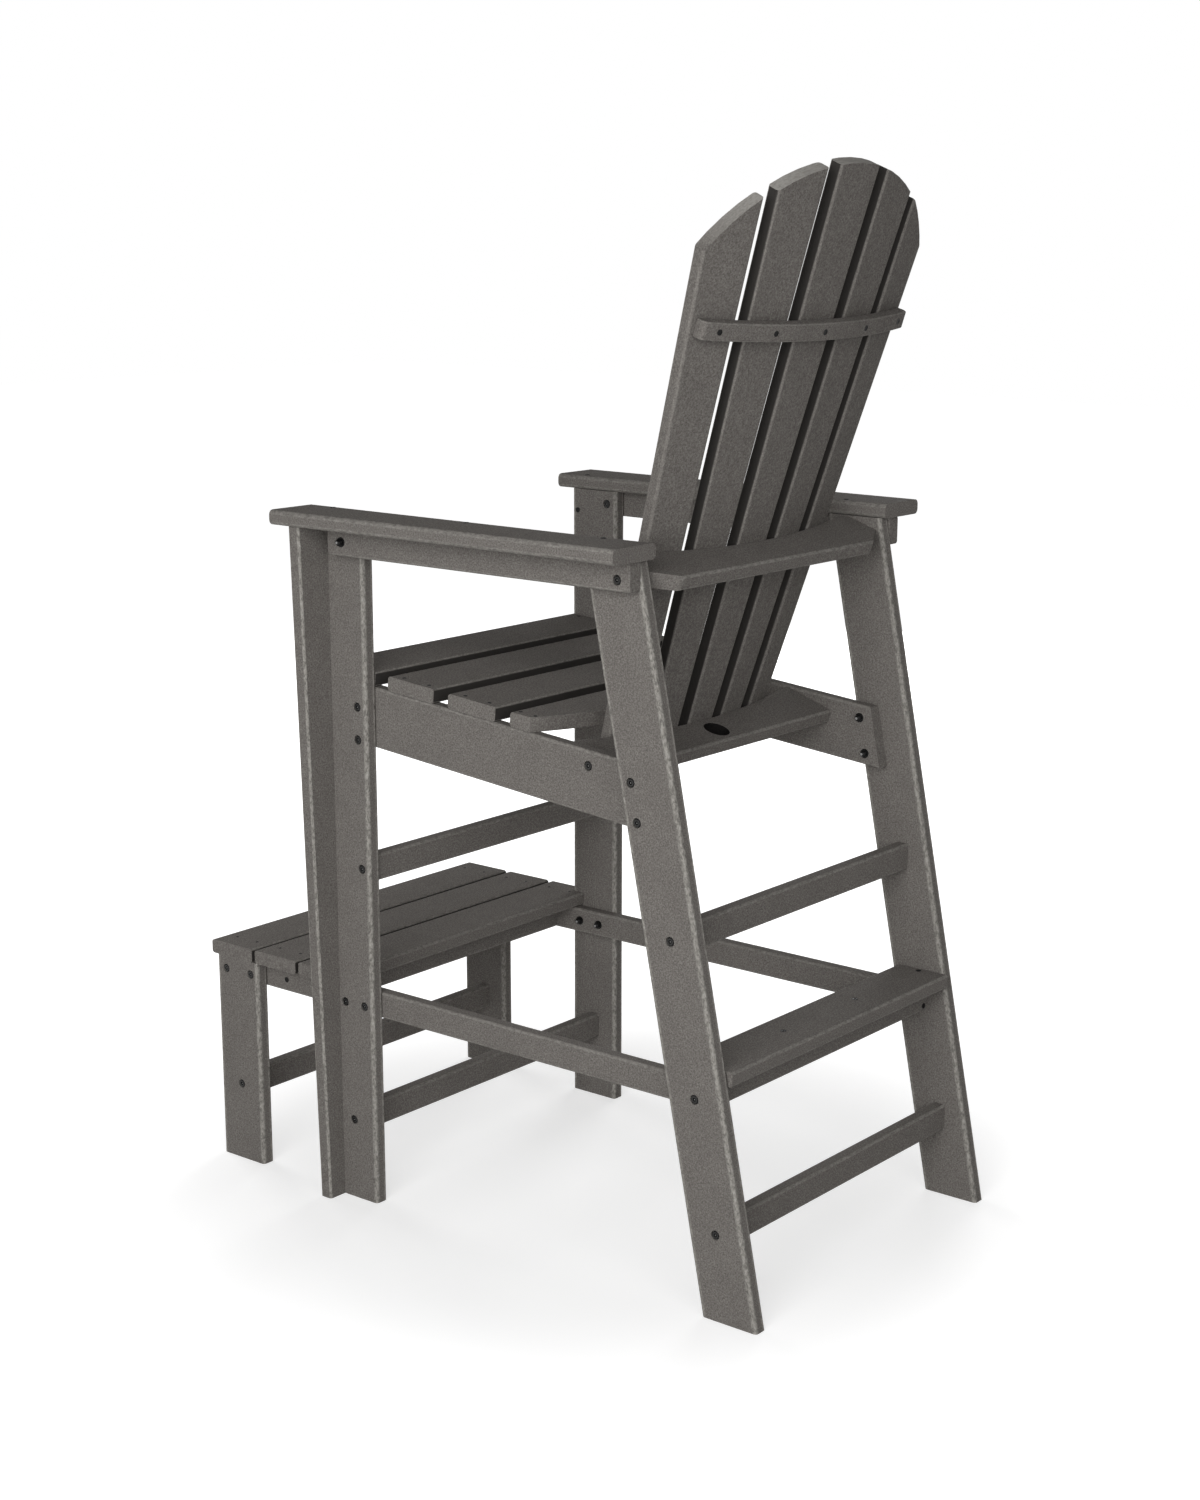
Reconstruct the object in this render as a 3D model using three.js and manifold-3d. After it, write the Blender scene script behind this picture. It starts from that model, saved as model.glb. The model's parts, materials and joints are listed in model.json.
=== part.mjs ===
// A raised lifeguard chair of grey plastic lumber. It has two upright front legs, two rear legs that lean
// forward as they rise and carry a ladder, a footrest on legs of its own, a pitched slat seat, wide armrests,
// and a reclined back of five fanned slats with an arched top.
// Lengths are in millimetres. +Z is up and the sitter faces -Y. Places are first measured from the floor, the
// middle of the chair and the front face of the front legs, and the whole is centred over its footprint last.
import * as THREE from "three";
import { mergeVertices } from "three/addons/utils/BufferGeometryUtils.js";
import Module from "manifold-3d";

const wasm = await Module();
wasm.setup();

// Lumber
const PLANK_WIDTH = 88.9;
const PLANK_THICKNESS = 21.5;
const RAIL_WIDTH = 40.5;
const EDGE_RADIUS = 4.5;
const ARM_EDGE_RADIUS = 7;

// Clearance between pieces that meet at a slant, and how far a rough board or a cut runs past its end
const FIT_GAP = 0.3;
const OVERRUN = 60;

// Main frame
const INSIDE_WIDTH = 546;
const LEG_HEIGHT = 1019;
const REAR_LEG_AHEAD_OF_LAG = 73;
const REAR_LEG_RUN = 207.8;
const FRONT_BOARD_FOOT_WIDTH = 30.3;
const FRONT_BOARD_TOP_WIDTH = 57.3;

// Arms
const ARM_FRONT_OVERHANG = 28.5;
const ARM_REAR_OVERHANG = 10.6;
const ARM_INNER_OVERHANG = 2.5;
const ARM_RAIL_SPACE = 21.5;

// Seat
const SEAT_HEIGHT = 787.5;
const SEAT_PITCH = THREE.MathUtils.degToRad(5.154);
const STRINGER_FRONT_INSET = 8;
const STRINGER_ON_REAR_LEG = 41.5;
const FIRST_SEAT_GAP = 25;
const SECOND_SLAT_SPACE = 22.9;
const SEAT_SLAT_GAP = 27;
const LAST_SLAT_RADIUS = 750;
const LAST_SLAT_CROWN_SHARE = 0.988;

// Back, in its own reclined frame: its zero is the top of the lower support, at the middle slat's back face
const BACK_RECLINE = THREE.MathUtils.degToRad(18.06);
const BACK_SETBACK = 467.1;
const LOWER_SUPPORT_DROP = 7.1;
const BACK_ARC_RADIUS = 1040;
const LOWER_SUPPORT_DEPTH = 57.7;
const UPPER_SUPPORT_DEPTH = 55.5;
const UPPER_CHAMFER_LENGTH = 49.5;
const UPPER_CHAMFER_DEPTH = 30.5;
const DRAIN_HOLE_RADIUS = 19;
const DRAIN_HOLE_SETBACK = 28.7;
const BRACE_RISE = 573.7;
const BRACE_HEIGHT = 24.5;
const BRACE_THICKNESS = 16.8;
const BRACE_HALF_SPAN = 231;
const BRACE_EDGE_RADIUS = 2;
const BRACE_END_RADIUS = 6;
const SLAT_DROP = 34.3;
const CROWN_RADIUS = 308;
const CROWN_RISE = 807.7;
const OUTER_CROWN_LIFT = 3.5;
const CROWN_SLANT = THREE.MathUtils.degToRad(4);

// Back slats fan out from their feet to the height of the crown. Each gap is named for the slat on its inner
// side.
const BACK_SLAT_THICKNESS = 20;
const SLAT_FOOT_WIDTH = 54.5;
const MIDDLE_SLAT_CROWN_WIDTH = 89.9;
const INNER_SLAT_CROWN_WIDTH = 88.5;
const OUTER_SLAT_CROWN_WIDTH = 85.4;
const MIDDLE_GAP_AT_FOOT = 23.4;
const MIDDLE_GAP_AT_CROWN = 23.8;
const INNER_GAP_AT_FOOT = 22.7;
const INNER_GAP_AT_CROWN = 20.9;

// Footrest, rungs and stretchers
const FOOTREST_REACH = 246;
const FOOTREST_OVERHANG = 11;
const FOOTREST_GAP = 6.35;
const RAIL_TOP = 328.5;
const FRONT_APRON_INSET = 120.25;
const REAR_APRON_LEG_SPACE = 19;
const LOW_RUNG_HEIGHT = 104;
const HIGH_RUNG_HEIGHT = 499;
const HIGH_STRETCHER_SHARE = 0.822;
const TREAD_REAR_OVERHANG = 6.7;
const TREAD_END_GAP = 1.5;

// Bolts
const SHANK_RADIUS = 4;
const BOLT_HOLE_RADIUS = 4.5;
const HEAD_RADIUS = 6.5;
const HEAD_THICKNESS = 3.6;
const HEAD_EDGE = 0.8;
const SOCKET_RADIUS = 2.4;
const SOCKET_DEPTH = 2;
const COUNTERBORE_RADIUS = 7.2;
const COUNTERBORE_DEPTH = 4.2;
const NUT_RADIUS = 7;
const NUT_FLANGE = 2.2;
const NUT_DOME_RADIUS = 5.4;
const NUT_HEIGHT = 9.5;
const LAG_REACH = 45;

// Where the bolts sit, as shares of the width of the board that carries them
const RAIL_BOLTS_ON_FRONT_LEG_SHARES = [0.36, 0.803];
const RAIL_BOLTS_ON_FOOTREST_LEG_SHARES = [0.214, 0.82];
const SEAT_BOLT_ON_FRONT_LEG_SHARE = 0.799;
const SEAT_FRONT_BOLT_DROP_SHARES = [0.33, 0.87];
const SEAT_BOLT_ON_REAR_LEG_SHARE = 0.214;
const SEAT_REAR_BOLT_DROP_SHARES = [0.22, 0.802];
const ARM_BOLT_ON_FRONT_LEG_SHARE = 0.78;
const UPPER_LAG_SHARE = 0.301;
const LOWER_LAG_SHARE = 0.333;

// How finely round stretches are drawn
const EDGE_STEPS = 2;
const SWEEP_STEPS = 14;
const BOLT_STEPS = 12;
const HOLE_STEPS = 32;
const DOME_STEPS = 3;
const CROWN_STEPS = 36;

const HALF = 1 / 2;
const QUARTER_TURN = Math.PI / 2;
const X_AXIS = new THREE.Vector3(1, 0, 0);
const Y_AXIS = new THREE.Vector3(0, 1, 0);
const Z_AXIS = new THREE.Vector3(0, 0, 1);

// Planes that many pieces share
const insideX = INSIDE_WIDTH * HALF;
const legOuterX = insideX + PLANK_THICKNESS;
const stringerInnerX = insideX - PLANK_THICKNESS;
const rearLegLean = Math.atan2(REAR_LEG_RUN, LEG_HEIGHT);
const rearLegRunWidth = PLANK_WIDTH / Math.cos(rearLegLean);

// Frames that carry tilted pieces
const chair = new THREE.Group();
const seat = new THREE.Group();
const back = new THREE.Group();
seat.position.set(0, PLANK_WIDTH, SEAT_HEIGHT);
seat.rotation.x = -SEAT_PITCH;
back.position.set(0, BACK_SETBACK, seatHeightAt(BACK_SETBACK) - LOWER_SUPPORT_DROP);
back.rotation.x = -BACK_RECLINE;
chair.add(seat, back);
chair.updateMatrixWorld(true);

// The height of the stringers' top edge, at a distance behind the front of the legs
function seatHeightAt(y) {
  return SEAT_HEIGHT - (y - PLANK_WIDTH) * Math.tan(SEAT_PITCH);
}

// The rear leg's front edge and middle, at a height above the floor
function rearLegFront(z) {
  const top = upperLagPlace().y - REAR_LEG_AHEAD_OF_LAG;
  return top + ((LEG_HEIGHT - z) * REAR_LEG_RUN) / LEG_HEIGHT;
}

function rearLegMiddle(z) {
  return rearLegFront(z) + rearLegRunWidth * HALF;
}

// Two ends of a span in rising order, mirrored for the right side of the chair
function span(side, inner, outer) {
  return side > 0 ? [inner, outer] : [-outer, -inner];
}

function across(halfWidth) {
  return [-halfWidth, halfWidth];
}

function around(middle, size) {
  return [middle - size * HALF, middle + size * HALF];
}

// A solid that can be cut and joined, from a closed geometry
function solidOf(geometry) {
  const bare = geometry.index ? geometry.toNonIndexed() : geometry.clone();
  bare.deleteAttribute("normal");
  bare.deleteAttribute("uv");
  const merged = mergeVertices(bare);
  const mesh = new wasm.Mesh({
    numProp: 3,
    vertProperties: Float32Array.from(merged.attributes.position.array),
    triVerts: Uint32Array.from(merged.index.array),
  });
  return new wasm.Manifold(mesh);
}

function geometryOf(solid) {
  const { vertProperties, triVerts } = solid.getMesh();
  const geometry = new THREE.BufferGeometry();
  geometry.setAttribute("position", new THREE.BufferAttribute(vertProperties, 3));
  geometry.setIndex(new THREE.BufferAttribute(triVerts, 1));
  return geometry;
}

function without(solid, cutters) {
  return cutters.reduce((rest, cutter) => rest.subtract(cutter), solid);
}

// The same geometry as seen from inside a tilted frame
function seenFrom(frame, geometry) {
  return geometry.clone().applyMatrix4(frame.matrixWorld.clone().invert());
}

// Turns a shape that was extruded along Z so that it runs along the named axis
const RUNS_ALONG = {
  x: new THREE.Matrix4().makeBasis(Y_AXIS, Z_AXIS, X_AXIS),
  y: new THREE.Matrix4().makeBasis(Z_AXIS, X_AXIS, Y_AXIS),
  z: new THREE.Matrix4().makeBasis(X_AXIS, Y_AXIS, Z_AXIS),
};
const SECTION_AXES = { x: ["y", "z"], y: ["z", "x"], z: ["x", "y"] };

function roundedRectangle([x0, x1], [y0, y1], radius) {
  const shape = new THREE.Shape();
  shape.absarc(x1 - radius, y1 - radius, radius, 0, QUARTER_TURN);
  shape.absarc(x0 + radius, y1 - radius, radius, QUARTER_TURN, 2 * QUARTER_TURN);
  shape.absarc(x0 + radius, y0 + radius, radius, 2 * QUARTER_TURN, 3 * QUARTER_TURN);
  shape.absarc(x1 - radius, y0 + radius, radius, 3 * QUARTER_TURN, 4 * QUARTER_TURN);
  shape.closePath();
  return shape;
}

function extruded(shape, depth, curveSegments) {
  return new THREE.ExtrudeGeometry(shape, { depth, curveSegments, bevelEnabled: false });
}

// A board that fills a box of spans along x, y and z. Its long edges are rounded and its ends are sawn flat.
function boardGeometry(axis, spans, radius = EDGE_RADIUS) {
  const [first, second] = SECTION_AXES[axis];
  const [start, end] = spans[axis];
  const section = roundedRectangle(spans[first], spans[second], radius);
  const geometry = extruded(section, end - start, EDGE_STEPS);
  geometry.translate(0, 0, start);
  return geometry.applyMatrix4(RUNS_ALONG[axis]);
}

function board(axis, spans, radius) {
  return solidOf(boardGeometry(axis, spans, radius));
}

// A plain block for trimming
function blockGeometry({ x, y, z }) {
  const geometry = new THREE.BoxGeometry(x[1] - x[0], y[1] - y[0], z[1] - z[0]);
  return geometry.translate((x[0] + x[1]) * HALF, (y[0] + y[1]) * HALF, (z[0] + z[1]) * HALF);
}

function block(spans) {
  return solidOf(blockGeometry(spans));
}

// A round cutter along x, at a place given as a vector
function crossHole(radius, [x0, x1], place) {
  const geometry = new THREE.CylinderGeometry(radius, radius, x1 - x0, BOLT_STEPS);
  geometry.rotateZ(-QUARTER_TURN);
  geometry.translate((x0 + x1) * HALF, place.y, place.z);
  return solidOf(geometry);
}

function lumber() {
  return new THREE.MeshStandardMaterial({ color: 0x76736f, roughness: 0.8, metalness: 0 });
}

function blackSteel() {
  return new THREE.MeshStandardMaterial({ color: 0x1c1b1a, roughness: 0.4, metalness: 0.8 });
}

// Adds a solid to a frame as a named mesh whose own origin is the middle of the solid
function addPiece(frame, name, solid, material = lumber()) {
  const geometry = geometryOf(solid);
  geometry.computeBoundingBox();
  const middle = geometry.boundingBox.getCenter(new THREE.Vector3());
  geometry.translate(-middle.x, -middle.y, -middle.z);
  geometry.computeVertexNormals();
  const mesh = new THREE.Mesh(geometry, material);
  mesh.name = name;
  mesh.position.copy(middle);
  frame.add(mesh);
}

// Bolts that cross the chair. Each has a place in the side view, the face that its head is sunk into, and the
// face that its nut sits on, or for a lag bolt the depth that its point reaches.
function place(y, z) {
  return new THREE.Vector3(0, y, z);
}

// The place on the rear leg that lies behind its front edge and below the top of the seat's stringer
function seatPlaceOnRearLeg(setback, drop) {
  const slope = REAR_LEG_RUN / LEG_HEIGHT;
  const sine = Math.sin(SEAT_PITCH);
  const cosine = Math.cos(SEAT_PITCH);
  const reach = rearLegFront(SEAT_HEIGHT - drop * cosine) + setback - PLANK_WIDTH + drop * sine;
  return seat.localToWorld(place(reach / (cosine - slope * sine), -drop));
}

function seatPlaceOnFrontLeg(drop) {
  const y = PLANK_WIDTH * SEAT_BOLT_ON_FRONT_LEG_SHARE;
  return place(y, seatHeightAt(y) - drop);
}

// The height in the back's frame at which the upper support's rounded front corner just clears the armrest
function upperSupportRise() {
  const corner = new THREE.Vector3(0, UPPER_SUPPORT_DEPTH - PLANK_WIDTH + EDGE_RADIUS, 0);
  const reclined = back.localToWorld(corner);
  const rise = LEG_HEIGHT - FIT_GAP - EDGE_RADIUS - reclined.z;
  return rise / Math.cos(BACK_RECLINE) + EDGE_RADIUS;
}

const UPPER_RISE = upperSupportRise();

// The place of the lag bolt in the end of the upper support
function upperLagPlace() {
  return back.localToWorld(place(UPPER_SUPPORT_DEPTH * UPPER_LAG_SHARE, UPPER_RISE - PLANK_THICKNESS * HALF));
}

const railMiddleZ = RAIL_TOP - RAIL_WIDTH * HALF;
const armRailMiddleZ = LEG_HEIGHT - RAIL_WIDTH * HALF;
const armRailOuterX = legOuterX + PLANK_THICKNESS;
const lowRungMiddleZ = LOW_RUNG_HEIGHT + RAIL_WIDTH * HALF;
const highRungMiddleZ = HIGH_RUNG_HEIGHT + RAIL_WIDTH * HALF;
const stretcherMiddleY = { low: PLANK_WIDTH * HALF, high: PLANK_WIDTH * HIGH_STRETCHER_SHARE };
const footrestLegMiddleY = PLANK_WIDTH * HALF - FOOTREST_REACH;

const BOLTS = {
  seatFront: SEAT_FRONT_BOLT_DROP_SHARES.map((share) => seatPlaceOnFrontLeg(PLANK_WIDTH * share)),
  seatRear: SEAT_REAR_BOLT_DROP_SHARES.map((share) =>
    seatPlaceOnRearLeg(rearLegRunWidth * SEAT_BOLT_ON_REAR_LEG_SHARE, PLANK_WIDTH * share),
  ),
  railFront: RAIL_BOLTS_ON_FRONT_LEG_SHARES.map((share) => place(PLANK_WIDTH * share, railMiddleZ)),
  railFootrest: RAIL_BOLTS_ON_FOOTREST_LEG_SHARES.map((share) =>
    place(PLANK_WIDTH * share - FOOTREST_REACH, railMiddleZ),
  ),
  armFront: [place(PLANK_WIDTH * ARM_BOLT_ON_FRONT_LEG_SHARE, armRailMiddleZ)],
};

// Lag bolts run into the sawn end of a cross board
const LAGS = {
  upperSupport: upperLagPlace(),
  lowerSupport: back.localToWorld(
    place(LOWER_SUPPORT_DEPTH * LOWER_LAG_SHARE, -PLANK_THICKNESS * HALF),
  ),
  highStretcher: place(stretcherMiddleY.high, highRungMiddleZ),
  lowStretcher: place(stretcherMiddleY.low, lowRungMiddleZ),
  footrestStretcher: place(footrestLegMiddleY, lowRungMiddleZ),
  highRung: place(rearLegMiddle(highRungMiddleZ), highRungMiddleZ),
  treadRung: place(rearLegMiddle(railMiddleZ), railMiddleZ),
  lowRung: place(rearLegMiddle(lowRungMiddleZ), lowRungMiddleZ),
};

// Cutters for the shank of each bolt in a board
function shankHoles(side, places, [inner, outer]) {
  const reach = span(side, inner - OVERRUN, outer + OVERRUN);
  return places.map((spot) => crossHole(BOLT_HOLE_RADIUS, reach, spot));
}

// Cutters for the round recesses of heads in the outer face of a board, and one for its inner face
function outerRecesses(side, places, faceX) {
  const reach = span(side, faceX - COUNTERBORE_DEPTH, faceX + OVERRUN);
  return places.map((spot) => crossHole(COUNTERBORE_RADIUS, reach, spot));
}

function innerRecess(side, spot, faceX) {
  return crossHole(COUNTERBORE_RADIUS, span(side, faceX - OVERRUN, faceX + COUNTERBORE_DEPTH), spot);
}

// Front leg: a full plank on edge, with a narrower plank facing forward outside it
function frontLegSideBoard(side) {
  const leg = board("z", { x: span(side, insideX, legOuterX), y: [0, PLANK_WIDTH], z: [0, LEG_HEIGHT] });
  const thickness = [insideX, legOuterX];
  const through = [...BOLTS.seatFront, ...BOLTS.railFront, ...BOLTS.armFront];
  const sunk = [...BOLTS.seatFront, ...BOLTS.railFront, LAGS.highStretcher, LAGS.lowStretcher];
  return without(leg, [
    ...shankHoles(side, through, thickness),
    ...outerRecesses(side, sunk, legOuterX),
    innerRecess(side, BOLTS.armFront[0], insideX),
  ]);
}

// Its outer edge leans outward as it rises, and its inner edge is ripped to stand straight against the leg
function frontLegFrontBoard(side) {
  const lean = Math.atan2(FRONT_BOARD_TOP_WIDTH - FRONT_BOARD_FOOT_WIDTH, LEG_HEIGHT);
  const width = span(side, -PLANK_WIDTH, 0);
  const rough = boardGeometry("z", {
    x: width,
    y: [0, PLANK_THICKNESS],
    z: [-OVERRUN, LEG_HEIGHT + OVERRUN],
  });
  rough.rotateY(side * lean);
  rough.translate(side * (legOuterX + FRONT_BOARD_FOOT_WIDTH), 0, 0);
  const kept = block({
    x: span(side, legOuterX, legOuterX + PLANK_WIDTH),
    y: [-OVERRUN, PLANK_THICKNESS + OVERRUN],
    z: [0, LEG_HEIGHT],
  });
  return solidOf(rough).intersect(kept);
}

// A rear leg leans forward as it rises, and its foot and its top are sawn level
function leaningBoard(side, [inner, outer]) {
  const rough = boardGeometry("z", {
    x: span(side, inner, outer),
    y: [0, PLANK_WIDTH],
    z: [-OVERRUN, LEG_HEIGHT / Math.cos(rearLegLean) + OVERRUN],
  });
  rough.rotateX(rearLegLean);
  return rough.translate(0, rearLegFront(0), 0);
}

function rearLeg(side) {
  const kept = block({
    x: span(side, insideX - OVERRUN, legOuterX + OVERRUN),
    y: [0, rearLegFront(0) + rearLegRunWidth + OVERRUN],
    z: [0, LEG_HEIGHT],
  });
  const leg = solidOf(leaningBoard(side, [insideX, legOuterX])).intersect(kept);
  const rungs = [LAGS.highRung, LAGS.treadRung, LAGS.lowRung];
  return without(leg, [
    ...shankHoles(side, [...BOLTS.seatRear, LAGS.upperSupport], [insideX, legOuterX]),
    ...outerRecesses(side, [...BOLTS.seatRear, ...rungs], legOuterX),
  ]);
}

function armrest(side) {
  const inner = insideX - ARM_INNER_OVERHANG;
  const rear = rearLegFront(LEG_HEIGHT) + rearLegRunWidth + ARM_REAR_OVERHANG;
  const spans = {
    x: span(side, inner, inner + PLANK_WIDTH),
    y: [-ARM_FRONT_OVERHANG, rear],
    z: [LEG_HEIGHT, LEG_HEIGHT + PLANK_THICKNESS],
  };
  return board("y", spans, ARM_EDGE_RADIUS);
}

function armRail(side) {
  const rear = rearLegFront(armRailMiddleZ) + rearLegRunWidth;
  const rail = board("y", {
    x: span(side, legOuterX, armRailOuterX),
    y: [PLANK_THICKNESS + ARM_RAIL_SPACE, rear],
    z: [LEG_HEIGHT - RAIL_WIDTH, LEG_HEIGHT],
  });
  return without(rail, [
    ...shankHoles(side, [...BOLTS.armFront, LAGS.upperSupport], [legOuterX, armRailOuterX]),
    ...outerRecesses(side, [LAGS.upperSupport], armRailOuterX),
  ]);
}

// The seat's side board runs back and down, and its rear end is sawn in line with the rear leg
function seatStringer(side) {
  const rear = seatPlaceOnRearLeg(STRINGER_ON_REAR_LEG, 0).y + OVERRUN;
  const rough = board("y", {
    x: span(side, stringerInnerX, insideX),
    y: [STRINGER_FRONT_INSET - PLANK_WIDTH, rear - PLANK_WIDTH],
    z: [-PLANK_WIDTH, 0],
  });
  const waste = blockGeometry({
    x: span(side, stringerInnerX - OVERRUN, insideX + OVERRUN),
    y: [0, OVERRUN + OVERRUN + PLANK_WIDTH],
    z: [0, LEG_HEIGHT],
  });
  waste.rotateX(rearLegLean);
  waste.translate(0, rearLegFront(0) + STRINGER_ON_REAR_LEG, 0);
  const inSeat = (spot) => seat.worldToLocal(spot.clone());
  const through = [...BOLTS.seatFront, ...BOLTS.seatRear].map(inSeat);
  return without(rough, [
    solidOf(seenFrom(seat, waste)),
    ...shankHoles(side, through, [stringerInnerX, insideX]),
    ...outerRecesses(side, [inSeat(LAGS.lowerSupport)], insideX),
  ]);
}

// Seat slats lie on the stringers. The first fits between the front legs, and the last has a curved rear edge.
function seatSlat(start, halfLength) {
  return board("x", {
    x: across(halfLength),
    y: [start, start + PLANK_WIDTH],
    z: [FIT_GAP, FIT_GAP + PLANK_THICKNESS],
  });
}

// The outline on the hollow side of a circle through the origin, with straight sides out to a far edge
function arcOutline(radius, crown, halfWidth, farEdge) {
  const half = Math.asin(halfWidth / radius);
  const shape = new THREE.Shape();
  shape.absarc(0, crown - radius, radius, QUARTER_TURN - half, QUARTER_TURN + half);
  shape.lineTo(-halfWidth, farEdge);
  shape.lineTo(halfWidth, farEdge);
  shape.closePath();
  return shape;
}

function lastSeatSlat(start) {
  const crown = start + PLANK_WIDTH * LAST_SLAT_CROWN_SHARE;
  const outline = arcOutline(LAST_SLAT_RADIUS, crown, insideX + OVERRUN, start - OVERRUN);
  const kept = extruded(outline, PLANK_THICKNESS + OVERRUN + OVERRUN, SWEEP_STEPS);
  kept.translate(0, 0, -OVERRUN);
  return seatSlat(start, insideX).intersect(solidOf(kept));
}

// Back supports: planks lying across the chair, hollowed to the arc that the slats stand against
function hollowedSupport(halfLength, depth, top) {
  const plank = board("x", {
    x: across(halfLength),
    y: [depth - PLANK_WIDTH, depth],
    z: [top - PLANK_THICKNESS, top],
  });
  const halfWidth = insideX + OVERRUN;
  const outline = arcOutline(BACK_ARC_RADIUS, 0, halfWidth, -PLANK_WIDTH - OVERRUN);
  const hollow = extruded(outline, PLANK_THICKNESS + OVERRUN + OVERRUN, SWEEP_STEPS);
  hollow.translate(0, 0, top - PLANK_THICKNESS - OVERRUN);
  return plank.subtract(solidOf(hollow));
}

function lowerSupport() {
  const hole = new THREE.CylinderGeometry(
    DRAIN_HOLE_RADIUS,
    DRAIN_HOLE_RADIUS,
    PLANK_THICKNESS + OVERRUN,
    HOLE_STEPS,
  );
  hole.rotateX(QUARTER_TURN);
  hole.translate(0, DRAIN_HOLE_SETBACK, -PLANK_THICKNESS * HALF);
  return hollowedSupport(stringerInnerX, LOWER_SUPPORT_DEPTH, 0).subtract(solidOf(hole));
}

function upperSupport() {
  const support = hollowedSupport(insideX, UPPER_SUPPORT_DEPTH, UPPER_RISE);
  const corner = new THREE.Shape();
  corner.moveTo(insideX - UPPER_CHAMFER_LENGTH, UPPER_SUPPORT_DEPTH);
  corner.lineTo(insideX, UPPER_SUPPORT_DEPTH - UPPER_CHAMFER_DEPTH);
  corner.lineTo(insideX + OVERRUN, UPPER_SUPPORT_DEPTH - UPPER_CHAMFER_DEPTH);
  corner.lineTo(insideX + OVERRUN, UPPER_SUPPORT_DEPTH + OVERRUN);
  corner.lineTo(insideX - UPPER_CHAMFER_LENGTH, UPPER_SUPPORT_DEPTH + OVERRUN);
  corner.closePath();
  const right = extruded(corner, PLANK_THICKNESS + OVERRUN + OVERRUN, 1);
  right.translate(0, 0, UPPER_RISE - PLANK_THICKNESS - OVERRUN);
  const left = right.clone().rotateY(Math.PI);
  left.translate(0, 0, UPPER_RISE + UPPER_RISE - PLANK_THICKNESS);
  const spot = back.worldToLocal(LAGS.upperSupport.clone());
  const ends = [1, -1].map((side) =>
    crossHole(BOLT_HOLE_RADIUS, span(side, insideX - LAG_REACH, insideX + OVERRUN), spot),
  );
  return without(support, [solidOf(right), solidOf(left), ...ends]);
}

// The brace behind the slats follows the same arc, and its rear corners are rounded
function braceOutline() {
  const half = Math.asin(BRACE_HALF_SPAN / BACK_ARC_RADIUS);
  const inner = BACK_ARC_RADIUS + BRACE_EDGE_RADIUS;
  const outer = BACK_ARC_RADIUS + BRACE_THICKNESS - BRACE_EDGE_RADIUS;
  const reach = outer - BRACE_END_RADIUS;
  const turn = half - BRACE_END_RADIUS / reach;
  const cornerX = reach * Math.sin(turn);
  const cornerY = reach * Math.cos(turn) - BACK_ARC_RADIUS;
  const shape = new THREE.Shape();
  shape.absarc(0, -BACK_ARC_RADIUS, outer, QUARTER_TURN - turn, QUARTER_TURN + turn);
  shape.absarc(-cornerX, cornerY, BRACE_END_RADIUS, QUARTER_TURN + turn, 2 * QUARTER_TURN + turn);
  shape.absarc(0, -BACK_ARC_RADIUS, inner, QUARTER_TURN + half, QUARTER_TURN - half, true);
  shape.absarc(cornerX, cornerY, BRACE_END_RADIUS, -turn, QUARTER_TURN - turn);
  shape.closePath();
  return shape;
}

function backBrace() {
  const geometry = new THREE.ExtrudeGeometry(braceOutline(), {
    depth: BRACE_HEIGHT - BRACE_EDGE_RADIUS - BRACE_EDGE_RADIUS,
    curveSegments: SWEEP_STEPS,
    bevelThickness: BRACE_EDGE_RADIUS,
    bevelSize: BRACE_EDGE_RADIUS,
    bevelSegments: EDGE_STEPS,
  });
  return solidOf(geometry.translate(0, 0, BRACE_RISE + BRACE_EDGE_RADIUS));
}

// Edges of a back slat in the front view, at a height along the straight tapers
function slatEdgesAt(index, z) {
  const share = (z + SLAT_DROP) / (CROWN_RISE + SLAT_DROP);
  const between = (foot, crown) => THREE.MathUtils.lerp(foot, crown, share);
  const middleEdge = between(SLAT_FOOT_WIDTH, MIDDLE_SLAT_CROWN_WIDTH) * HALF;
  const innerStart = middleEdge + between(MIDDLE_GAP_AT_FOOT, MIDDLE_GAP_AT_CROWN);
  const innerEnd = innerStart + between(SLAT_FOOT_WIDTH, INNER_SLAT_CROWN_WIDTH);
  const outerStart = innerEnd + between(INNER_GAP_AT_FOOT, INNER_GAP_AT_CROWN);
  const outerEnd = outerStart + between(SLAT_FOOT_WIDTH, OUTER_SLAT_CROWN_WIDTH);
  const edges = [across(middleEdge), [innerStart, innerEnd], [outerStart, outerEnd]];
  return span(Math.sign(index) || 1, ...edges[Math.abs(index)]);
}

// A point on the arc of the supports and the brace
function onArc(x, z) {
  return new THREE.Vector3(x, Math.sqrt(BACK_ARC_RADIUS ** 2 - x ** 2) - BACK_ARC_RADIUS, z);
}

// A flat slat rests on three points of the arc: both its edges at the brace, and its inner edge at the lower
// support. The plane through them gives the directions across, along and out of the slat.
function slatPlane(index) {
  const [left, right] = slatEdgesAt(index, BRACE_RISE);
  const footEdges = slatEdgesAt(index, 0);
  const innerFoot = index < 0 ? footEdges[1] - EDGE_RADIUS : footEdges[0] + EDGE_RADIUS;
  const start = onArc(left + EDGE_RADIUS, BRACE_RISE);
  const acrossSlat = onArc(right - EDGE_RADIUS, BRACE_RISE).sub(start).normalize();
  const rising = start.clone().sub(onArc(innerFoot, 0));
  const alongSlat = rising.addScaledVector(acrossSlat, -rising.dot(acrossSlat)).normalize();
  const outward = acrossSlat.clone().cross(alongSlat);
  const origin = start.addScaledVector(outward, FIT_GAP);
  return { origin, acrossSlat, alongSlat, outward };
}

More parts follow.
